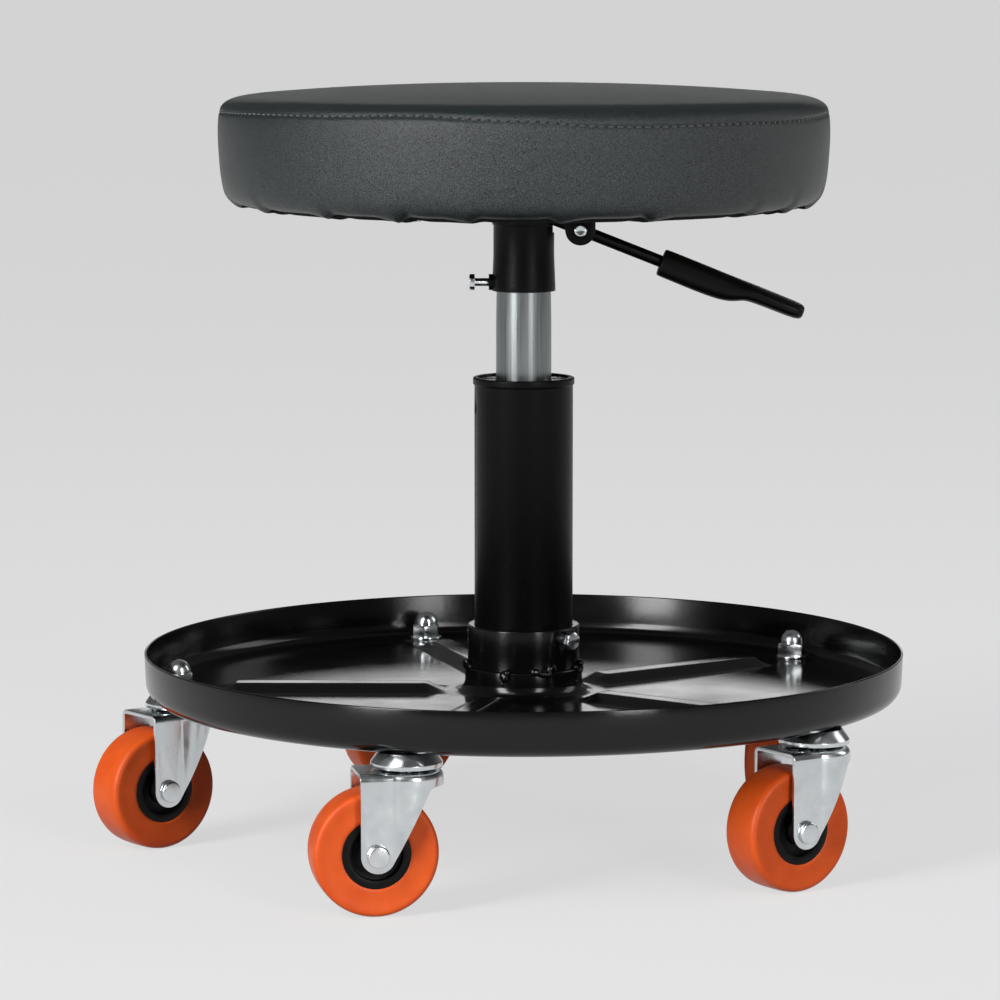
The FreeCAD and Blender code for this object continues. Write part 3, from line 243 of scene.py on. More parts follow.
# Tray: one disc of 1.2 mm sheet steel, drawn with a rim, a neck in the middle and five raised beads.
# It is painted black all over with a hard gloss, and the caster stems go through flat pads near its rim.
# It is drawn as a round sheet whose radial lines are bent to run along the beads, so that their edges are crisp.
sheet = 0.0012
floor_z = 0.0782
rim_z = 0.0995
rim_r = 0.19
wall_foot_r = 0.1894
corner_round = 0.0068
neck_r = 0.0294
neck_z = 0.091
neck_round = 0.006
bead_height = 0.004
bead_half_width = 0.014
bead_slope = 0.009
bead_start, bead_end = 0.0395, 0.1535
bead_edge_share = 0.06
bead_lines = (0, 0.0025, 0.0043, 0.005, 0.0057, 0.008, 0.011, 0.0132, 0.014, 0.0148)
lines_per_side = 26
pad_height, pad_r, pad_slope = 0.0006, 0.012, 0.0024
stem_hole_r = 0.0044
stems = [Vector(joint["pos_m"]).xy for joint in behaviour["joints"] if joint["name"].startswith("caster_swivel")]


def arc(centre_r, centre_z, radius, start_deg, end_deg, steps):
    """Points of a profile along an arc."""
    turns = [math.radians(start_deg + (end_deg - start_deg) * step / steps) for step in range(steps + 1)]
    return [(centre_r + radius * math.cos(turn), centre_z + radius * math.sin(turn)) for turn in turns]


def soft_step(value):
    """0 below 0 and 1 above 1, with a smooth rise between."""
    share = min(max(value, 0.0), 1.0)
    return share * share * (3 - 2 * share)


def pressed_ramp(value):
    """0 below 0 and 1 above 1, with a straight rise between and small rounds where it starts and ends."""
    edge = bead_edge_share
    if value > 0.5:
        return 1 - pressed_ramp(1 - value)
    if value < -edge:
        return 0.0
    return value if value > edge else (value + edge) ** 2 / (4 * edge)


floor_start = neck_r + neck_round
floor_end = wall_foot_r - sheet - corner_round
floor_radii = [0.0372, bead_start, 0.0425, 0.0455, bead_start + bead_slope, 0.0494]
floor_radii += [0.053 + 0.006 * step for step in range(15)]
floor_radii += [bead_end - bead_slope - 0.0008, bead_end - bead_slope, 0.1455, 0.149, 0.1525, bead_end, 0.1545]
floor_radii += [0.1575 + 0.0024 * step for step in range(10)]
upper = arc(neck_r - sheet / 2, neck_z - sheet / 2, sheet / 2, 90, 0, 3)
upper += arc(floor_start, floor_z + neck_round, neck_round, 180, 270, 7)
upper += [(radius, floor_z) for radius in floor_radii]
upper += arc(floor_end, floor_z + corner_round, corner_round, -90, 0, 8) + [(rim_r - sheet, rim_z - sheet / 2)]
lip = arc(rim_r - sheet / 2, rim_z - sheet / 2, sheet / 2, 150, 30, 4) + [(rim_r, rim_z - sheet / 2)]
lower = arc(floor_end, floor_z + corner_round, corner_round + sheet, 0, -90, 8)
lower += [(radius, floor_z - sheet) for radius in reversed(floor_radii)]
lower += arc(floor_start, floor_z + neck_round, neck_round + sheet, 270, 180, 7)
lower += [(neck_r - sheet, neck_z - sheet / 2)]
lines_per_bead = 2 * lines_per_side
segments = lines_per_bead * len(stems)
tray = turned("tray_pressing", upper + lip + lower + [upper[0]], segments)
first_angle = math.atan2(stems[0].y, stems[0].x)
sector = 2 * math.pi / len(stems)
last_bead_line = len(bead_lines) - 1
for vertex in tray.data.vertices:
    radius = vertex.co.xy.length
    line = round((math.atan2(vertex.co.y, vertex.co.x) - first_angle) / (2 * math.pi) * segments)
    bead = round(line / lines_per_bead)
    line -= bead * lines_per_bead
    side = abs(line)
    turn = math.asin(bead_lines[min(side, last_bead_line)] / radius)
    if side > last_bead_line:
        turn += (sector / 2 - turn) * (side - last_bead_line) / (lines_per_side - last_bead_line)
    angle = first_angle + bead * sector + math.copysign(turn, line)
    vertex.co.xy = Vector((math.cos(angle), math.sin(angle))) * radius
    if vertex.co.z > floor_z + sheet or radius < floor_start:
        continue
    across = radius * math.sin(turn)
    along = radius * math.cos(turn)
    rise = pressed_ramp((bead_half_width - across) / bead_slope)
    rise *= pressed_ramp((along - bead_start) / bead_slope) * pressed_ramp((bead_end - along) / bead_slope)
    gap = min((vertex.co.xy - stem).length for stem in stems)
    vertex.co.z += max(bead_height * rise, pad_height * soft_step((pad_r - gap) / pad_slope + 0.5))
bpy.ops.object.mode_set(mode="EDIT")
bpy.ops.mesh.select_mode(type="FACE")
bpy.ops.mesh.select_all(action="DESELECT")
bpy.ops.object.mode_set(mode="OBJECT")
for face in tray.data.polygons:
    face.select = any((face.center.xy - stem).length < stem_hole_r for stem in stems)
bpy.ops.object.mode_set(mode="EDIT")
bpy.ops.mesh.delete(type="FACE")
bpy.ops.mesh.select_mode(type="EDGE")
for stem in stems:
    bpy.ops.mesh.select_all(action="DESELECT")
    bpy.ops.mesh.select_non_manifold()
    bpy.ops.object.mode_set(mode="OBJECT")
    for edge in tray.data.edges:
        end = tray.data.vertices[edge.vertices[0]].co.xy
        edge.select = edge.select and (end - stem).length < pad_r
    bpy.ops.object.mode_set(mode="EDIT")
    bpy.ops.mesh.bridge_edge_loops()
bpy.ops.mesh.select_mode(type="VERT")
face_outward()

# Black stoving enamel: deep black with a clear gloss that varies in wide patches, and a faint orange peel.
gloss, tree, shader, place = new_finish("black_stoving_enamel", {"IOR": 1.45, "Specular IOR Level": 0.42})
patch = patches(tree, place, size=0.05, detail=5.0)
peel = patches(tree, place, size=0.0025, detail=2.0)
shaded(tree, shader, patch, dark="#040404", pale="#0a0a0a")
dulled(tree, shader, patch, smooth=0.12, rough=0.22)
raised(tree, shader, peel, strength=0.1, depth=0.0002)
settle(tray, gloss, "tray")

# Column socket: a short steel tube welded in the tray's neck, painted black with the tray.
# Its lock bolt is plated and holds the column tube.
lock_bolt_edge = 0.00015
settle(eased("column_socket", pressed_edge, pressed_steps), gloss, "column_socket")
settle(eased("socket_lock_bolt", lock_bolt_edge), zinc, "socket_lock_bolt")

# Welds: short runs of arc weld that hold the socket in the neck, painted over.
# Each run is a row of overlapping drops of metal, no two alike, drawn fused and then smoothed.
# A run has its middle and span in degrees, and how low and how high its drops lie about the neck's edge.
weld_runs = ((-17.0, 18.0, -0.002, 0.002), (-69.0, 22.0, -0.002, 0.0025), (-108.0, 7.0, -0.006, 0.0015),
             (-167.0, 18.0, -0.001, 0.003), (130.0, 24.0, -0.002, 0.002), (60.0, 22.0, -0.002, 0.002))
weld_r = 0.0287
weld_drops = 9
weld_drop_r = 0.0019
smallest_drop, largest_drop = 0.6, 1.3
outward_shift = 0.5
weld_voxel = 0.0005
melt_passes = 2
chance = random.Random(7)
bpy.ops.object.select_all(action="DESELECT")
drops = []
for middle, span, lowest, highest in weld_runs:
    for drop in range(weld_drops):
        angle = math.radians(middle + span * (drop / (weld_drops - 1) - 0.5))
        size = weld_drop_r * chance.uniform(smallest_drop, largest_drop)
        reach = weld_r + weld_drop_r * chance.uniform(0.0, outward_shift)
        spot = (reach * math.cos(angle), reach * math.sin(angle), neck_z + chance.uniform(lowest, highest))
        bpy.ops.mesh.primitive_ico_sphere_add(subdivisions=2, radius=size, location=spot)
        drops.append(bpy.context.object)
for drop in drops:
    drop.select_set(True)
bpy.ops.object.join()
welds = bpy.context.object
welds.name = "weld_runs"
bpy.ops.object.transform_apply(location=True, rotation=True, scale=True)
fuse = welds.modifiers.new("fuse", "REMESH")
fuse.mode = "VOXEL"
fuse.voxel_size = weld_voxel
bpy.ops.object.modifier_apply(modifier=fuse.name)
melt = welds.modifiers.new("melt", "SMOOTH")
melt.iterations = melt_passes
bpy.ops.object.modifier_apply(modifier=melt.name)
bpy.ops.object.shade_smooth()
settle(welds, gloss, "socket_welds")

# Column: a steel tube with a rolled lip and two pressed dents that hold the guide bush in its mouth.
# Black epoxy powder coat: a satin black with a fine, even pebble from the powder's flow.
satin, tree, shader, place = new_finish("black_powder_coat", {"IOR": 1.45, "Specular IOR Level": 0.14})
peel = patches(tree, place, size=0.0011, detail=3.0)
shaded(tree, shader, peel, dark="#020202", pale="#080808")
dulled(tree, shader, peel, smooth=0.32, rough=0.46)
raised(tree, shader, peel, strength=0.2, depth=0.0002)
settle(eased("column_tube", cut_edge), satin, "column_tube")

# Guide bush: a slotted acetal bush in the mouth of the column, in which the cylinder slides.
# Acetal: black, smooth and slightly waxy.
acetal, tree, shader, place = new_finish("black_acetal", {"IOR": 1.48})
wax = patches(tree, place, size=0.003, detail=3.0)
shaded(tree, shader, wax, dark="#080808", pale="#141414")
dulled(tree, shader, wax, smooth=0.2, rough=0.34)
settle(eased("guide_bush", screw_edge), acetal, "guide_bush")

# Gas spring cylinder: a drawn steel tube, ground and plated, with a taper at its top that the seat socket grips.
# Ground steel under a thin bright plate: grey and bright, with fine streaks along the tube, drawn coarser to show.
steel, tree, shader, place = new_finish("ground_bright_steel", {"Metallic": 1.0})
streak_width, streak_length = 0.0012, 0.06
stretch = add_node(tree, "ShaderNodeMapping", {}, {
    "Vector": place, "Scale": (1 / streak_width, 1 / streak_width, 1 / streak_length),
})
streaks = patches(tree, stretch.outputs[0], size=1.0, detail=4.0)
shaded(tree, shader, streaks, dark="#5a5e60", pale="#9ca0a1")
dulled(tree, shader, streaks, smooth=0.27, rough=0.4)
raised(tree, shader, streaks, strength=0.08, depth=0.0001)
settle(eased("gas_cylinder", cut_edge), steel, "gas_cylinder")

# Inner pieces of gas spring and casters: piston, rod, thrust bearing, balls, clip, valve, stems, seals and buffer.
# Ground steel, plated stems, a moulded guide and black rubber, hidden in the column and the swivel heads.
# None of them shows, so their CAD solids stay.


def refinish(finish, *nodes):
    """Gives CAD nodes that stay a better finish."""
    for node in nodes:
        for place in frame["nodes"][node].material_slots:
            place.material = finish


refinish(steel, "thrust_race_lower", "thrust_race_upper", "thrust_balls", "swivel_balls", "piston_rod", "piston",
         "rod_clip", "valve_body", "valve_pin")
refinish(zinc, "caster_stems")
refinish(moulded, "rod_guide")
# Nitrile rubber: matt black, mottled finely by the tooth of its mould.
# The same black finish paints the shade of the needle holes in the seat's seam.
rubber_and_hole_shade, tree, shader, place = new_finish("black_rubber_and_hole_shade", {"IOR": 1.52})
tooth = patches(tree, place, size=0.0008, detail=3.0)
shaded(tree, shader, tooth, dark="#0b0b0b", pale="#1a1a1a")
dulled(tree, shader, tooth, smooth=0.6, rough=0.8)
refinish(rubber_and_hole_shade, "piston_seal", "lift_buffer")

# Seat socket and plate: a tapered steel sleeve welded under a pressed plate, powder coated.
# The plate is bolted to the seat board, and a plated screw pinches the sleeve on the taper.
settle(eased("seat_socket", pressed_edge, pressed_steps), satin, "seat_socket")
settle(eased("seat_plate", pressed_edge, pressed_steps), satin, "seat_plate")
settle(eased("socket_set_screw", screw_edge), zinc, "socket_set_screw")
settle(eased("seat_bolts", screw_edge), zinc, "seat_bolts")

# Release lever: a bent steel rod on a screw between two welded ears, with a moulded grip pushed on its end.
# The rod and the ears are powder coated, and the screw and its nut are plated.
settle(eased("lever_bracket", cut_edge), satin, "lever_bracket")
settle(eased("lever_pivot_bolt", screw_edge), zinc, "lever_pivot_bolt")
settle(eased("lever_pivot_nut", screw_edge), zinc, "lever_pivot_nut")
settle(eased("lever_rod", cut_edge), satin, "lever_rod")

# Grip: a handle moulded in black polypropylene and pushed on the rod, a round sleeve that flattens into a paddle.
# It is drawn along its own line, which slopes down from the pivot.
# Each station has its distance along that line, its half width, its top and its bottom.
pivot = Vector((0.028, 0, 0.3097))
grip_slope = math.radians(21.5)
grip_sides = 32
grip_squareness = 0.8
grip_sharp_deg = 50.0
grip_stations = [
    (0.0432, 0.0058, 0.0058, -0.0062), (0.0434, 0.0065, 0.0064, -0.0069), (0.0442, 0.0068, 0.0067, -0.0072),
    (0.052, 0.0072, 0.0067, -0.0073), (0.062, 0.0079, 0.0066, -0.0075), (0.072, 0.0088, 0.0065, -0.0074),
    (0.079, 0.0096, 0.0064, -0.0068), (0.0840, 0.0104, 0.0064, -0.0053), (0.0875, 0.011, 0.0064, -0.0033),
    (0.0905, 0.0115, 0.0064, -0.0024), (0.100, 0.012, 0.0063, -0.0022), (0.110, 0.012, 0.0062, -0.0022),
    (0.1150, 0.0114, 0.0061, -0.0020), (0.1175, 0.0098, 0.0056, -0.0013), (0.1184, 0.0075, 0.0046, -0.0002),
]
bpy.ops.object.select_all(action="DESELECT")
run, half_width, top, bottom = grip_stations[0]
bpy.ops.mesh.primitive_circle_add(vertices=grip_sides, radius=1.0, fill_type="NGON", rotation=(0, math.pi / 2, 0))
grip = bpy.context.object
grip.name = "grip_handle"
bpy.ops.object.transform_apply(location=False, rotation=True, scale=False)
for vertex in grip.data.vertices:
    y, z = vertex.co.y, vertex.co.z
    vertex.co = (run, math.copysign(abs(y) ** grip_squareness, y) * half_width,
                 (top + bottom) / 2 + math.copysign(abs(z) ** grip_squareness, z) * (top - bottom) / 2)
bpy.ops.object.mode_set(mode="EDIT")
bpy.ops.mesh.select_all(action="SELECT")
for next_run, next_half_width, next_top, next_bottom in grip_stations[1:]:
    lift = (next_top + next_bottom - top - bottom) / 2
    bpy.ops.mesh.extrude_region_move(TRANSFORM_OT_translate={"value": (next_run - run, 0, lift)})
    bpy.ops.transform.resize(value=(1, next_half_width / half_width, (next_top - next_bottom) / (top - bottom)))
    run, half_width, top, bottom = next_run, next_half_width, next_top, next_bottom
face_outward()
grip.data.transform(Matrix.Translation(pivot) @ Matrix.Rotation(grip_slope, 4, "Y"))
smooth = grip.modifiers.new("smooth", "SUBSURF")
smooth.levels = smooth.render_levels = 2
bpy.ops.object.modifier_apply(modifier=smooth.name)
bpy.ops.object.shade_smooth_by_angle(angle=math.radians(grip_sharp_deg))
settle(grip, moulded, "lever_grip")

# Seat board: a disc of poplar plywood under the foam, with tee nuts for the plate's bolts and staples for the cover.
# Poplar plywood: pale tan face veneer with a long grain along one way, and thin darker plies on its edge.
plywood, tree, shader, place = new_finish("poplar_plywood", {"IOR": 1.45})
grain_length, grain_width, ply = 0.09, 0.004, 0.0015
stretch = add_node(tree, "ShaderNodeMapping", {}, {
    "Vector": place, "Scale": (1 / grain_length, 1 / grain_width, 1 / ply),
})
grain = patches(tree, stretch.outputs[0], size=1.0, detail=5.0)
shaded(tree, shader, grain, dark="#8a6238", pale="#d3b083")
dulled(tree, shader, grain, smooth=0.55, rough=0.75)
raised(tree, shader, grain, strength=0.2, depth=0.0003)
refinish(plywood, "seat_board")
refinish(zinc, "tee_nuts", "cover_staples")

# Cushion: foam on the seat board, in a sewn cover of coated fabric that is pulled over the board's edge, gathered and
# stapled underneath. A round top panel and a side band meet in one seam near the upper edge.
# It is one closed form, hollow where the board sits. Its top is blown up as cloth held at shoulder, hem and hollow.
board_r, board_low_z, board_top_z, board_round = 0.1437, 0.3237, 0.3389, 0.005
hem_z, hem_inner_r, hem_outer_r = 0.3223, 0.1165, 0.1365
seam_z, seam_r = 0.3676, 0.1513
crown_r, crown_foot_z, crown_top_z = 0.134, 0.3767, 0.3803
crown_steps = 18
free_r = 0.122
pole_r = 0.009
cover_segments = 216
held_margin = 0.001
shoulder_hold = 0.9
swell_frames = 20
swell_limit = 0.004

cover_profile = [(0.006, board_top_z), (0.05, board_top_z), (0.1, board_top_z), (0.13, board_top_z)]
cover_profile += [(board_r, board_top_z)]
cover_profile += arc(board_r - board_round, board_low_z + board_round, board_round, 0, -90, 4)
cover_profile += [(0.128, board_low_z), (hem_inner_r, board_low_z), (hem_inner_r, hem_z), (0.1195, hem_z)]
cover_profile += [(0.1225, hem_z), (0.1265, hem_z), (0.1305, hem_z), (0.1338, hem_z), (hem_outer_r, 0.3225)]
cover_profile += [
    (0.1390, 0.3229), (0.1415, 0.3234), (0.1437, 0.3242), (0.1456, 0.3254), (0.1471, 0.3269), (0.1482, 0.3287),
    (0.1490, 0.3310), (0.1496, 0.3338), (0.1502, 0.3375), (0.1506, 0.3412), (0.1509, 0.3455), (0.1512, 0.3498),
    (0.1514, 0.3540), (0.1515, 0.3580), (0.1515, 0.3612), (0.1515, 0.3635), (0.1515, 0.3651), (0.1514, 0.3663),
    (seam_r, seam_z), (0.1510, 0.3690), (0.1504, 0.3703), (0.1495, 0.3716), (0.1483, 0.3728), (0.1468, 0.3738),
    (0.1450, 0.3746), (0.1428, 0.3753), (0.1402, 0.3759), (0.1372, 0.3763),
]
for step in range(crown_steps):
    radius = crown_r * (1 - step / crown_steps)
    cover_profile.append((radius, crown_top_z - (crown_top_z - crown_foot_z) * (radius / crown_r) ** 2))
cover = turned("seat_cushion", cover_profile, cover_segments)

start_places = [vertex.co.copy() for vertex in cover.data.vertices]
held = cover.vertex_groups.new(name="held")
for vertex in cover.data.vertices:
    radius = vertex.co.xy.length
    if vertex.co.z > seam_z - held_margin:
        held.add([vertex.index], shoulder_hold * soft_step((radius - free_r) / (crown_r - free_r)), "REPLACE")
    elif radius < board_r + held_margin and vertex.co.z < board_top_z + held_margin:
        held.add([vertex.index], 1.0, "REPLACE")
cloth = cover.modifiers.new("swell", "CLOTH")
cloth.settings.quality = 6
cloth.settings.mass = 0.3
cloth.settings.tension_stiffness = 80.0
cloth.settings.compression_stiffness = 80.0
cloth.settings.shear_stiffness = 20.0
cloth.settings.bending_stiffness = 4.0
cloth.settings.use_pressure = True
cloth.settings.uniform_pressure_force = 4.0
cloth.settings.effector_weights.gravity = 0.0
cloth.settings.vertex_group_mass = "held"
cloth.collision_settings.use_collision = False
for step in range(1, swell_frames + 1):
    bpy.context.scene.frame_set(step)
bpy.ops.object.modifier_apply(modifier=cloth.name)
bpy.context.scene.frame_set(1)
cover.vertex_groups.clear()
for vertex, start in zip(cover.data.vertices, start_places):
    shift = vertex.co - start
    if shift.length > swell_limit:
        vertex.co = start + shift * (swell_limit / shift.length)
divide = cover.modifiers.new("divide", "SUBSURF")
divide.levels = divide.render_levels = 1
bpy.ops.object.modifier_apply(modifier=divide.name)
for pole_z in (board_top_z, crown_top_z):
    bpy.ops.object.mode_set(mode="EDIT")
    bpy.ops.mesh.select_all(action="DESELECT")
    bpy.ops.object.mode_set(mode="OBJECT")
    for vertex in cover.data.vertices:
        vertex.select = vertex.co.xy.length < pole_r and abs(vertex.co.z - pole_z) < pole_r
    bpy.ops.object.mode_set(mode="EDIT")
    bpy.ops.mesh.merge(type="CENTER")
    face_outward()

# The hem is gathered in pleats, whose tips hang in small points with a steep and a gentle side.
# Between them the cover's edge is drawn up a little, so that the folded hem shows behind it, dark from its own shadow
# and from the painted shade on its underside.
# The seam wanders round the seat in a shallow groove, beside which the cover's edge is rolled in.
pleat_degrees = (-62.0, -41.5, -24.6, -10.6, 6.5, 24.7, 49.5, 63.0, 80.0, 97.0, 115.0, 130.0, 149.0, 166.0,
                 -176.0, -159.0, -141.0, -124.0, -106.0, -83.0)
smallest_pleat, largest_pleat = 0.35, 1.1
pleat_drop = 0.0018
pleat_steep, pleat_gentle = 0.0052, 0.014
pleat_point = 1.4
pleat_bulge, crease_depth, crease_half_width = 0.0008, 0.0006, 0.004
pleat_reach_z = 0.337
edge_r, edge_half_width, edge_rise = 0.1410, 0.004, 0.0003
edge_reach = 0.006
hem_sag, hem_fold, staple_r = 0.0011, 0.0035, 0.1255
faces_up, faces_in, faces_down = 0.2, -0.1, -0.8
seam_course = ((-180, 0.3680), (-90, 0.3687), (-43, 0.3702), (-21, 0.3715), (-1, 0.3693), (14, 0.3667), (24, 0.3662),
               (38, 0.3666), (56, 0.3665), (90, 0.3684), (180, 0.3680))
seam_depth, seam_half_width = 0.0005, 0.0009
roll_depth, roll_below, roll_above = 0.0004, 0.006, 0.0016
chance = random.Random(11)
pleat_sizes = [chance.uniform(smallest_pleat, largest_pleat) for pleat in pleat_degrees]


def seam_height(place):
    """The height of the seam on the side of the seat where this place is, because it wanders round the seat."""
    degrees = math.degrees(math.atan2(place.x, -place.y))
    for (start, low), (end, high) in zip(seam_course, seam_course[1:]):
        if degrees <= end:
            return low + (high - low) * soft_step((degrees - start) / (end - start))


normals = [vertex.normal.copy() for vertex in cover.data.vertices]
for vertex, normal in zip(cover.data.vertices, normals):
    radius = vertex.co.xy.length
    if radius < hem_inner_r or normal.z > faces_up and vertex.co.z < board_top_z:
        continue
    if vertex.co.z < pleat_reach_z and normal.xy.dot(vertex.co.xy) > faces_in * radius:
        front_angle = math.degrees(math.atan2(vertex.co.x, -vertex.co.y))
        fold = crease = 0.0
        for degrees, size in zip(pleat_degrees, pleat_sizes):
            outward = math.copysign(1.0, degrees)
            offset = radius * math.radians((front_angle - degrees + 180) % 360 - 180) * outward
            width = pleat_gentle if offset > 0 else pleat_steep
            fold = max(fold, size * max(1 - abs(offset) / width, 0.0) ** pleat_point)
            crease = max(crease, size * math.exp(-((offset + pleat_steep) / crease_half_width) ** 2))
        reach = soft_step((pleat_reach_z - vertex.co.z) / (pleat_reach_z - hem_z))
        low = soft_step((hem_z + edge_reach - vertex.co.z) / edge_reach)
        near_edge = math.exp(-((radius - edge_r) / edge_half_width) ** 2)
        between = 1 - min(fold * 2, 1)
        vertex.co += normal * reach * (pleat_bulge * fold - crease_depth * crease)
        vertex.co.z += low * near_edge * (edge_rise * between - pleat_drop * fold)
        if staple_r < radius < hem_outer_r:
            vertex.co.z -= hem_sag * math.sin(math.pi * (radius - staple_r) / (hem_outer_r - staple_r))
    gap = vertex.co.z - seam_height(vertex.co)
    if radius > crown_r:
        roll = gap / (roll_above if gap > 0 else roll_below)
        groove = gap / seam_half_width
        vertex.co -= normal * (seam_depth * math.exp(-groove * groove) + roll_depth * math.exp(-roll * roll))
bpy.ops.object.shade_smooth()

# Vinyl-coated fabric: slate grey, embossed with a pebble grain under a millimetre across and with a soft sheen.
vinyl, tree, shader, place = new_finish("slate_grey_vinyl", {"IOR": 1.5})
pebble = add_node(tree, "ShaderNodeTexVoronoi", {"feature": "SMOOTH_F1"},
                  {"Vector": place, "Scale": 1 / 0.0007, "Smoothness": 0.4}).outputs["Distance"]
fine = patches(tree, place, size=0.00045, detail=2.0)
wear = patches(tree, place, size=0.06, detail=4.0)
speck = add_node(tree, "ShaderNodeMapRange", {}, {"Value": fine, "From Min": 0.35, "From Max": 0.69}).outputs[0]
sheen = add_node(tree, "ShaderNodeMapRange", {}, {"Value": speck, "To Min": 0.3, "To Max": 0.9}).outputs[0]
tree.links.new(sheen, shader.inputs["Specular IOR Level"])
tone = add_node(tree, "ShaderNodeMix", {"data_type": "RGBA", "blend_type": "MULTIPLY"},
                {0: 0.35, 6: blend(tree, speck, dark="#0d1314", pale="#2f393b"), 7: wear})
tree.links.new(tone.outputs[2], shader.inputs["Base Color"])
dulled(tree, shader, fine, smooth=0.33, rough=0.45)
coarse = add_node(tree, "ShaderNodeBump", {"invert": True}, {"Height": pebble, "Strength": 0.35, "Distance": 0.0002})
relief = add_node(tree, "ShaderNodeBump", {},
                  {"Height": fine, "Strength": 1.0, "Distance": 0.0003, "Normal": coarse.outputs[0]})
tree.links.new(relief.outputs[0], shader.inputs["Normal"])
settle(cover, vinyl, "seat_cover_top", "seat_cover_band", "seat_foam")
# Hem underside: painted shade. The faces of the hem turned under the seat are painted near black and matt, with a plain
# weave, for the shadow they hang in.
# The weave is drawn coarser than a real one, so that it shows.
hem_painted_shade, tree, shader, place = new_finish("hem_underside_painted_shade", {"Roughness": 0.9, "Specular IOR Level": 0.1})
yarn_scale = 0.05 / 0.0006
weft = add_node(tree, "ShaderNodeTexWave", {"bands_direction": "X"}, {"Vector": place, "Scale": yarn_scale})
warp = add_node(tree, "ShaderNodeTexWave", {"bands_direction": "Y"}, {"Vector": place, "Scale": yarn_scale})
weave = add_node(tree, "ShaderNodeMath", {"operation": "MULTIPLY"},
                 {0: weft.outputs["Fac"], 1: warp.outputs["Fac"]}).outputs[0]
shaded(tree, shader, weave, dark="#0b0b0b", pale="#1b1b1b")
raised(tree, shader, weave, strength=0.4, depth=0.0002)
cover.data.materials.append(hem_painted_shade)
# The downward faces of the turned-under hem are given the painted shade.
for face in cover.data.polygons:
    under_seat = face.normal.z < faces_down and face.center.z < board_low_z
    if under_seat and face.center.xy.length < hem_outer_r + hem_fold:
        face.material_index = 1

# Stitches: one row of polyester thread that runs in the seam, each stitch sunk at both ends in a needle hole.
# A hole's shade is painted: each hole is drawn as a small black plug in the cover, a dark dot of painted shade.
stitch_pitch = 0.0046
stitch_length = 0.0026
stitch_r = 0.00032
stitch_tail, tail_taper = 2 * stitch_r, 0.5
stitch_height = 0.4 * stitch_r
hole_r, hole_depth = 0.00055, 0.0008
round_sides = 8
faces_along = 0.9
bpy.ops.object.select_all(action="DESELECT")
bpy.ops.mesh.primitive_cylinder_add(vertices=round_sides, radius=stitch_r, depth=stitch_length,
                                    rotation=(0, math.pi / 2, 0))
stitch = bpy.context.object
bpy.ops.object.transform_apply(location=True, rotation=True, scale=True)
for end in (-1, 1):
    for face in stitch.data.polygons:
        face.select = face.normal.x * end > faces_along
    bpy.ops.object.mode_set(mode="EDIT")
    bpy.ops.mesh.select_mode(type="FACE")
    bpy.ops.mesh.extrude_region_move(TRANSFORM_OT_translate={"value": (end * stitch_tail, -stitch_r, 0)})
    bpy.ops.transform.resize(value=(1, tail_taper, tail_taper))
    bpy.ops.mesh.select_all(action="DESELECT")
    bpy.ops.object.mode_set(mode="OBJECT")
bpy.ops.mesh.primitive_cylinder_add(vertices=round_sides, radius=hole_r, depth=hole_depth, rotation=(math.pi / 2, 0, 0),
                                    location=(stitch_pitch / 2, -hole_depth / 4, 0))
hole = bpy.context.object
bpy.ops.object.transform_apply(location=True, rotation=True, scale=True)
stitch_count = round(2 * math.pi * seam_r / stitch_pitch)
rows = {stitch: [], hole: []}
for index in range(stitch_count):
    angle = 2 * math.pi * index / stitch_count
    out = Vector((math.cos(angle), math.sin(angle), 0))
    aimed_from = out * (seam_r + pole_r) + Vector((0, 0, seam_height(out)))
    spot, normal = cover.ray_cast(aimed_from, -out)[1:3]
    side = Vector((-out.y, out.x, 0))
    up = side.cross(normal)
    turn = Matrix((side, normal, up)).transposed().to_4x4()
    for sample in (stitch, hole):
        copy = bpy.data.objects.new(sample.name + "_copy", sample.data.copy())
        copy.data.transform(Matrix.Translation(spot + normal * stitch_height) @ turn)
        bpy.context.scene.collection.objects.link(copy)
        rows[sample].append(copy)
joined = []
for sample, name in ((stitch, "seam_stitches"), (hole, "needle_hole_shade")):
    bpy.ops.object.select_all(action="DESELECT")
    for copy in rows[sample]:
        copy.select_set(True)
    bpy.context.view_layer.objects.active = rows[sample][0]
    bpy.ops.object.join()
    row = bpy.context.object
    row.name = name
    bpy.ops.object.mode_set(mode="EDIT")
    face_outward()
    bpy.ops.object.shade_smooth()
    joined.append(row)
    bpy.data.objects.remove(sample)

# Bonded polyester thread: grey with a silky twist, its plies drawn as slanted bands, coarser than real ones to show.
thread, tree, shader, place = new_finish("grey_polyester_thread", {"Roughness": 0.45, "Sheen Weight": 0.3})
plies = add_node(tree, "ShaderNodeTexWave", {"bands_direction": "DIAGONAL"},
                 {"Vector": place, "Scale": 1 / 0.0035, "Distortion": 1.5}).outputs["Fac"]
shaded(tree, shader, plies, dark="#2c3032", pale="#4c5154")
# The thread gets its finish, and the hole plugs get the black rubber finish as painted shade.
for row, finish in zip(joined, (thread, rubber_and_hole_shade)):
    row.data.materials.clear()
    row.data.materials.append(finish)
    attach(row, "seat")

# Stage: a plain pale floor that reaches past the top of the view, soft lamps and the camera.
# The left lamp gives the main light and the right one fills. The others lighten edges, and the back one shows only in
# what shines. The camera stands where the photograph's did.
floor_size = 120.0
paper_glow = 0.63
bpy.ops.object.select_all(action="DESELECT")
bpy.ops.mesh.primitive_plane_add(size=floor_size, location=(0, 0, 0))
floor = bpy.context.object
floor.name = "studio_floor"
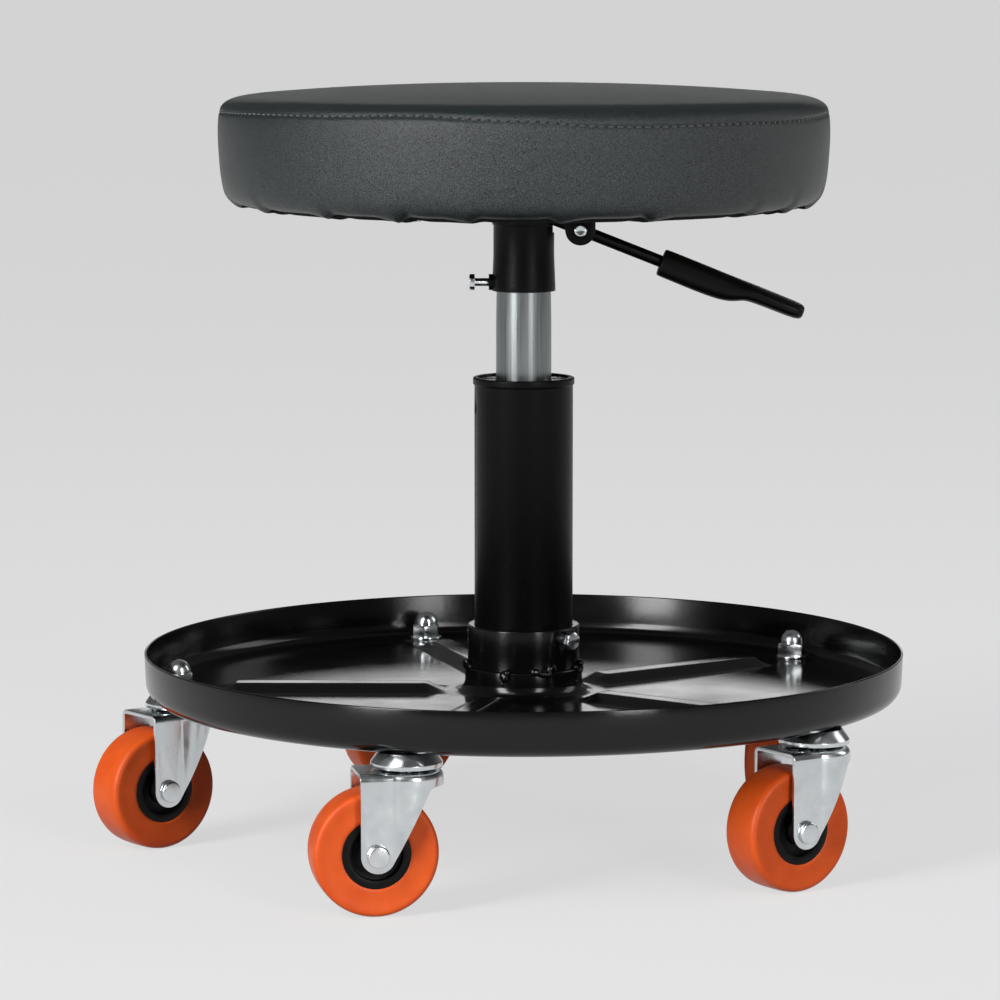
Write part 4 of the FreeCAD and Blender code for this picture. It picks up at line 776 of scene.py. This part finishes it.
# Studio paper: pale grey and matt, shown a little brighter to the eye so that it stays even to its far end.
paper, tree, shader, place = new_finish("pale_studio_paper", {
    "Roughness": 1.0, "Base Color": linear("#787878"), "Specular IOR Level": 0.0, "Emission Color": linear("#ffffff"),
})
seen = add_node(tree, "ShaderNodeLightPath", {}, {}).outputs
direct = add_node(tree, "ShaderNodeMath", {"operation": "MAXIMUM"},
                  {0: seen["Is Camera Ray"], 1: seen["Is Glossy Ray"]}).outputs[0]
any_ray = add_node(tree, "ShaderNodeMath", {"operation": "MAXIMUM"},
                   {0: direct, 1: seen["Is Transmission Ray"]}).outputs[0]
glow = add_node(tree, "ShaderNodeMath", {"operation": "MULTIPLY"}, {0: any_ray, 1: paper_glow}).outputs[0]
tree.links.new(glow, shader.inputs["Emission Strength"])
floor.data.materials.append(paper)

lamps = (
    ("lamp_left", (-1.95, -2.05, 1.3), (0.8, 2.3), 90.0),
    ("lamp_right", (1.45, -2.4, 1.05), (0.6, 1.9), 33.0),
    ("lamp_side", (2.2, 0.6, 1.1), (0.9, 1.4), 8.0),
    ("lamp_top", (-1.1, -1.3, 2.0), (1.2, 0.8), 6.0),
    ("lamp_back", (0.2, 4.2, 0.87), (1.7, 0.4), 3.7),
)
aim = Vector((0, 0, 0.22))
for name, spot, size, power in lamps:
    light = bpy.data.lights.new(name, "AREA")
    light.shape = "RECTANGLE"
    light.size, light.size_y = size
    light.energy = power
    lamp = bpy.data.objects.new(name, light)
    lamp.location = spot
    lamp.rotation_euler = (aim - Vector(spot)).to_track_quat("-Z", "Y").to_euler()
    lamp.visible_camera = False
    lamp.visible_diffuse = name != "lamp_back"
    bpy.context.scene.collection.objects.link(lamp)
world_strength = 0.12
world = bpy.data.worlds.new("studio")
world.use_nodes = True
world.node_tree.nodes["Background"].inputs["Color"].default_value = linear("#f2f2f2")
world.node_tree.nodes["Background"].inputs["Strength"].default_value = world_strength
bpy.context.scene.world = world

down_deg = 7.089
camera = bpy.data.objects.new("camera", bpy.data.cameras.new("camera"))
camera.data.sensor_width = 36.0
camera.data.lens = 162.92
camera.location = (-0.01183, -2.24737, 0.45384)
camera.rotation_euler = (math.radians(90.0 - down_deg), 0, 0)
bpy.context.scene.collection.objects.link(camera)
bpy.context.scene.camera = camera
bpy.context.scene.view_settings.view_transform = "Standard"
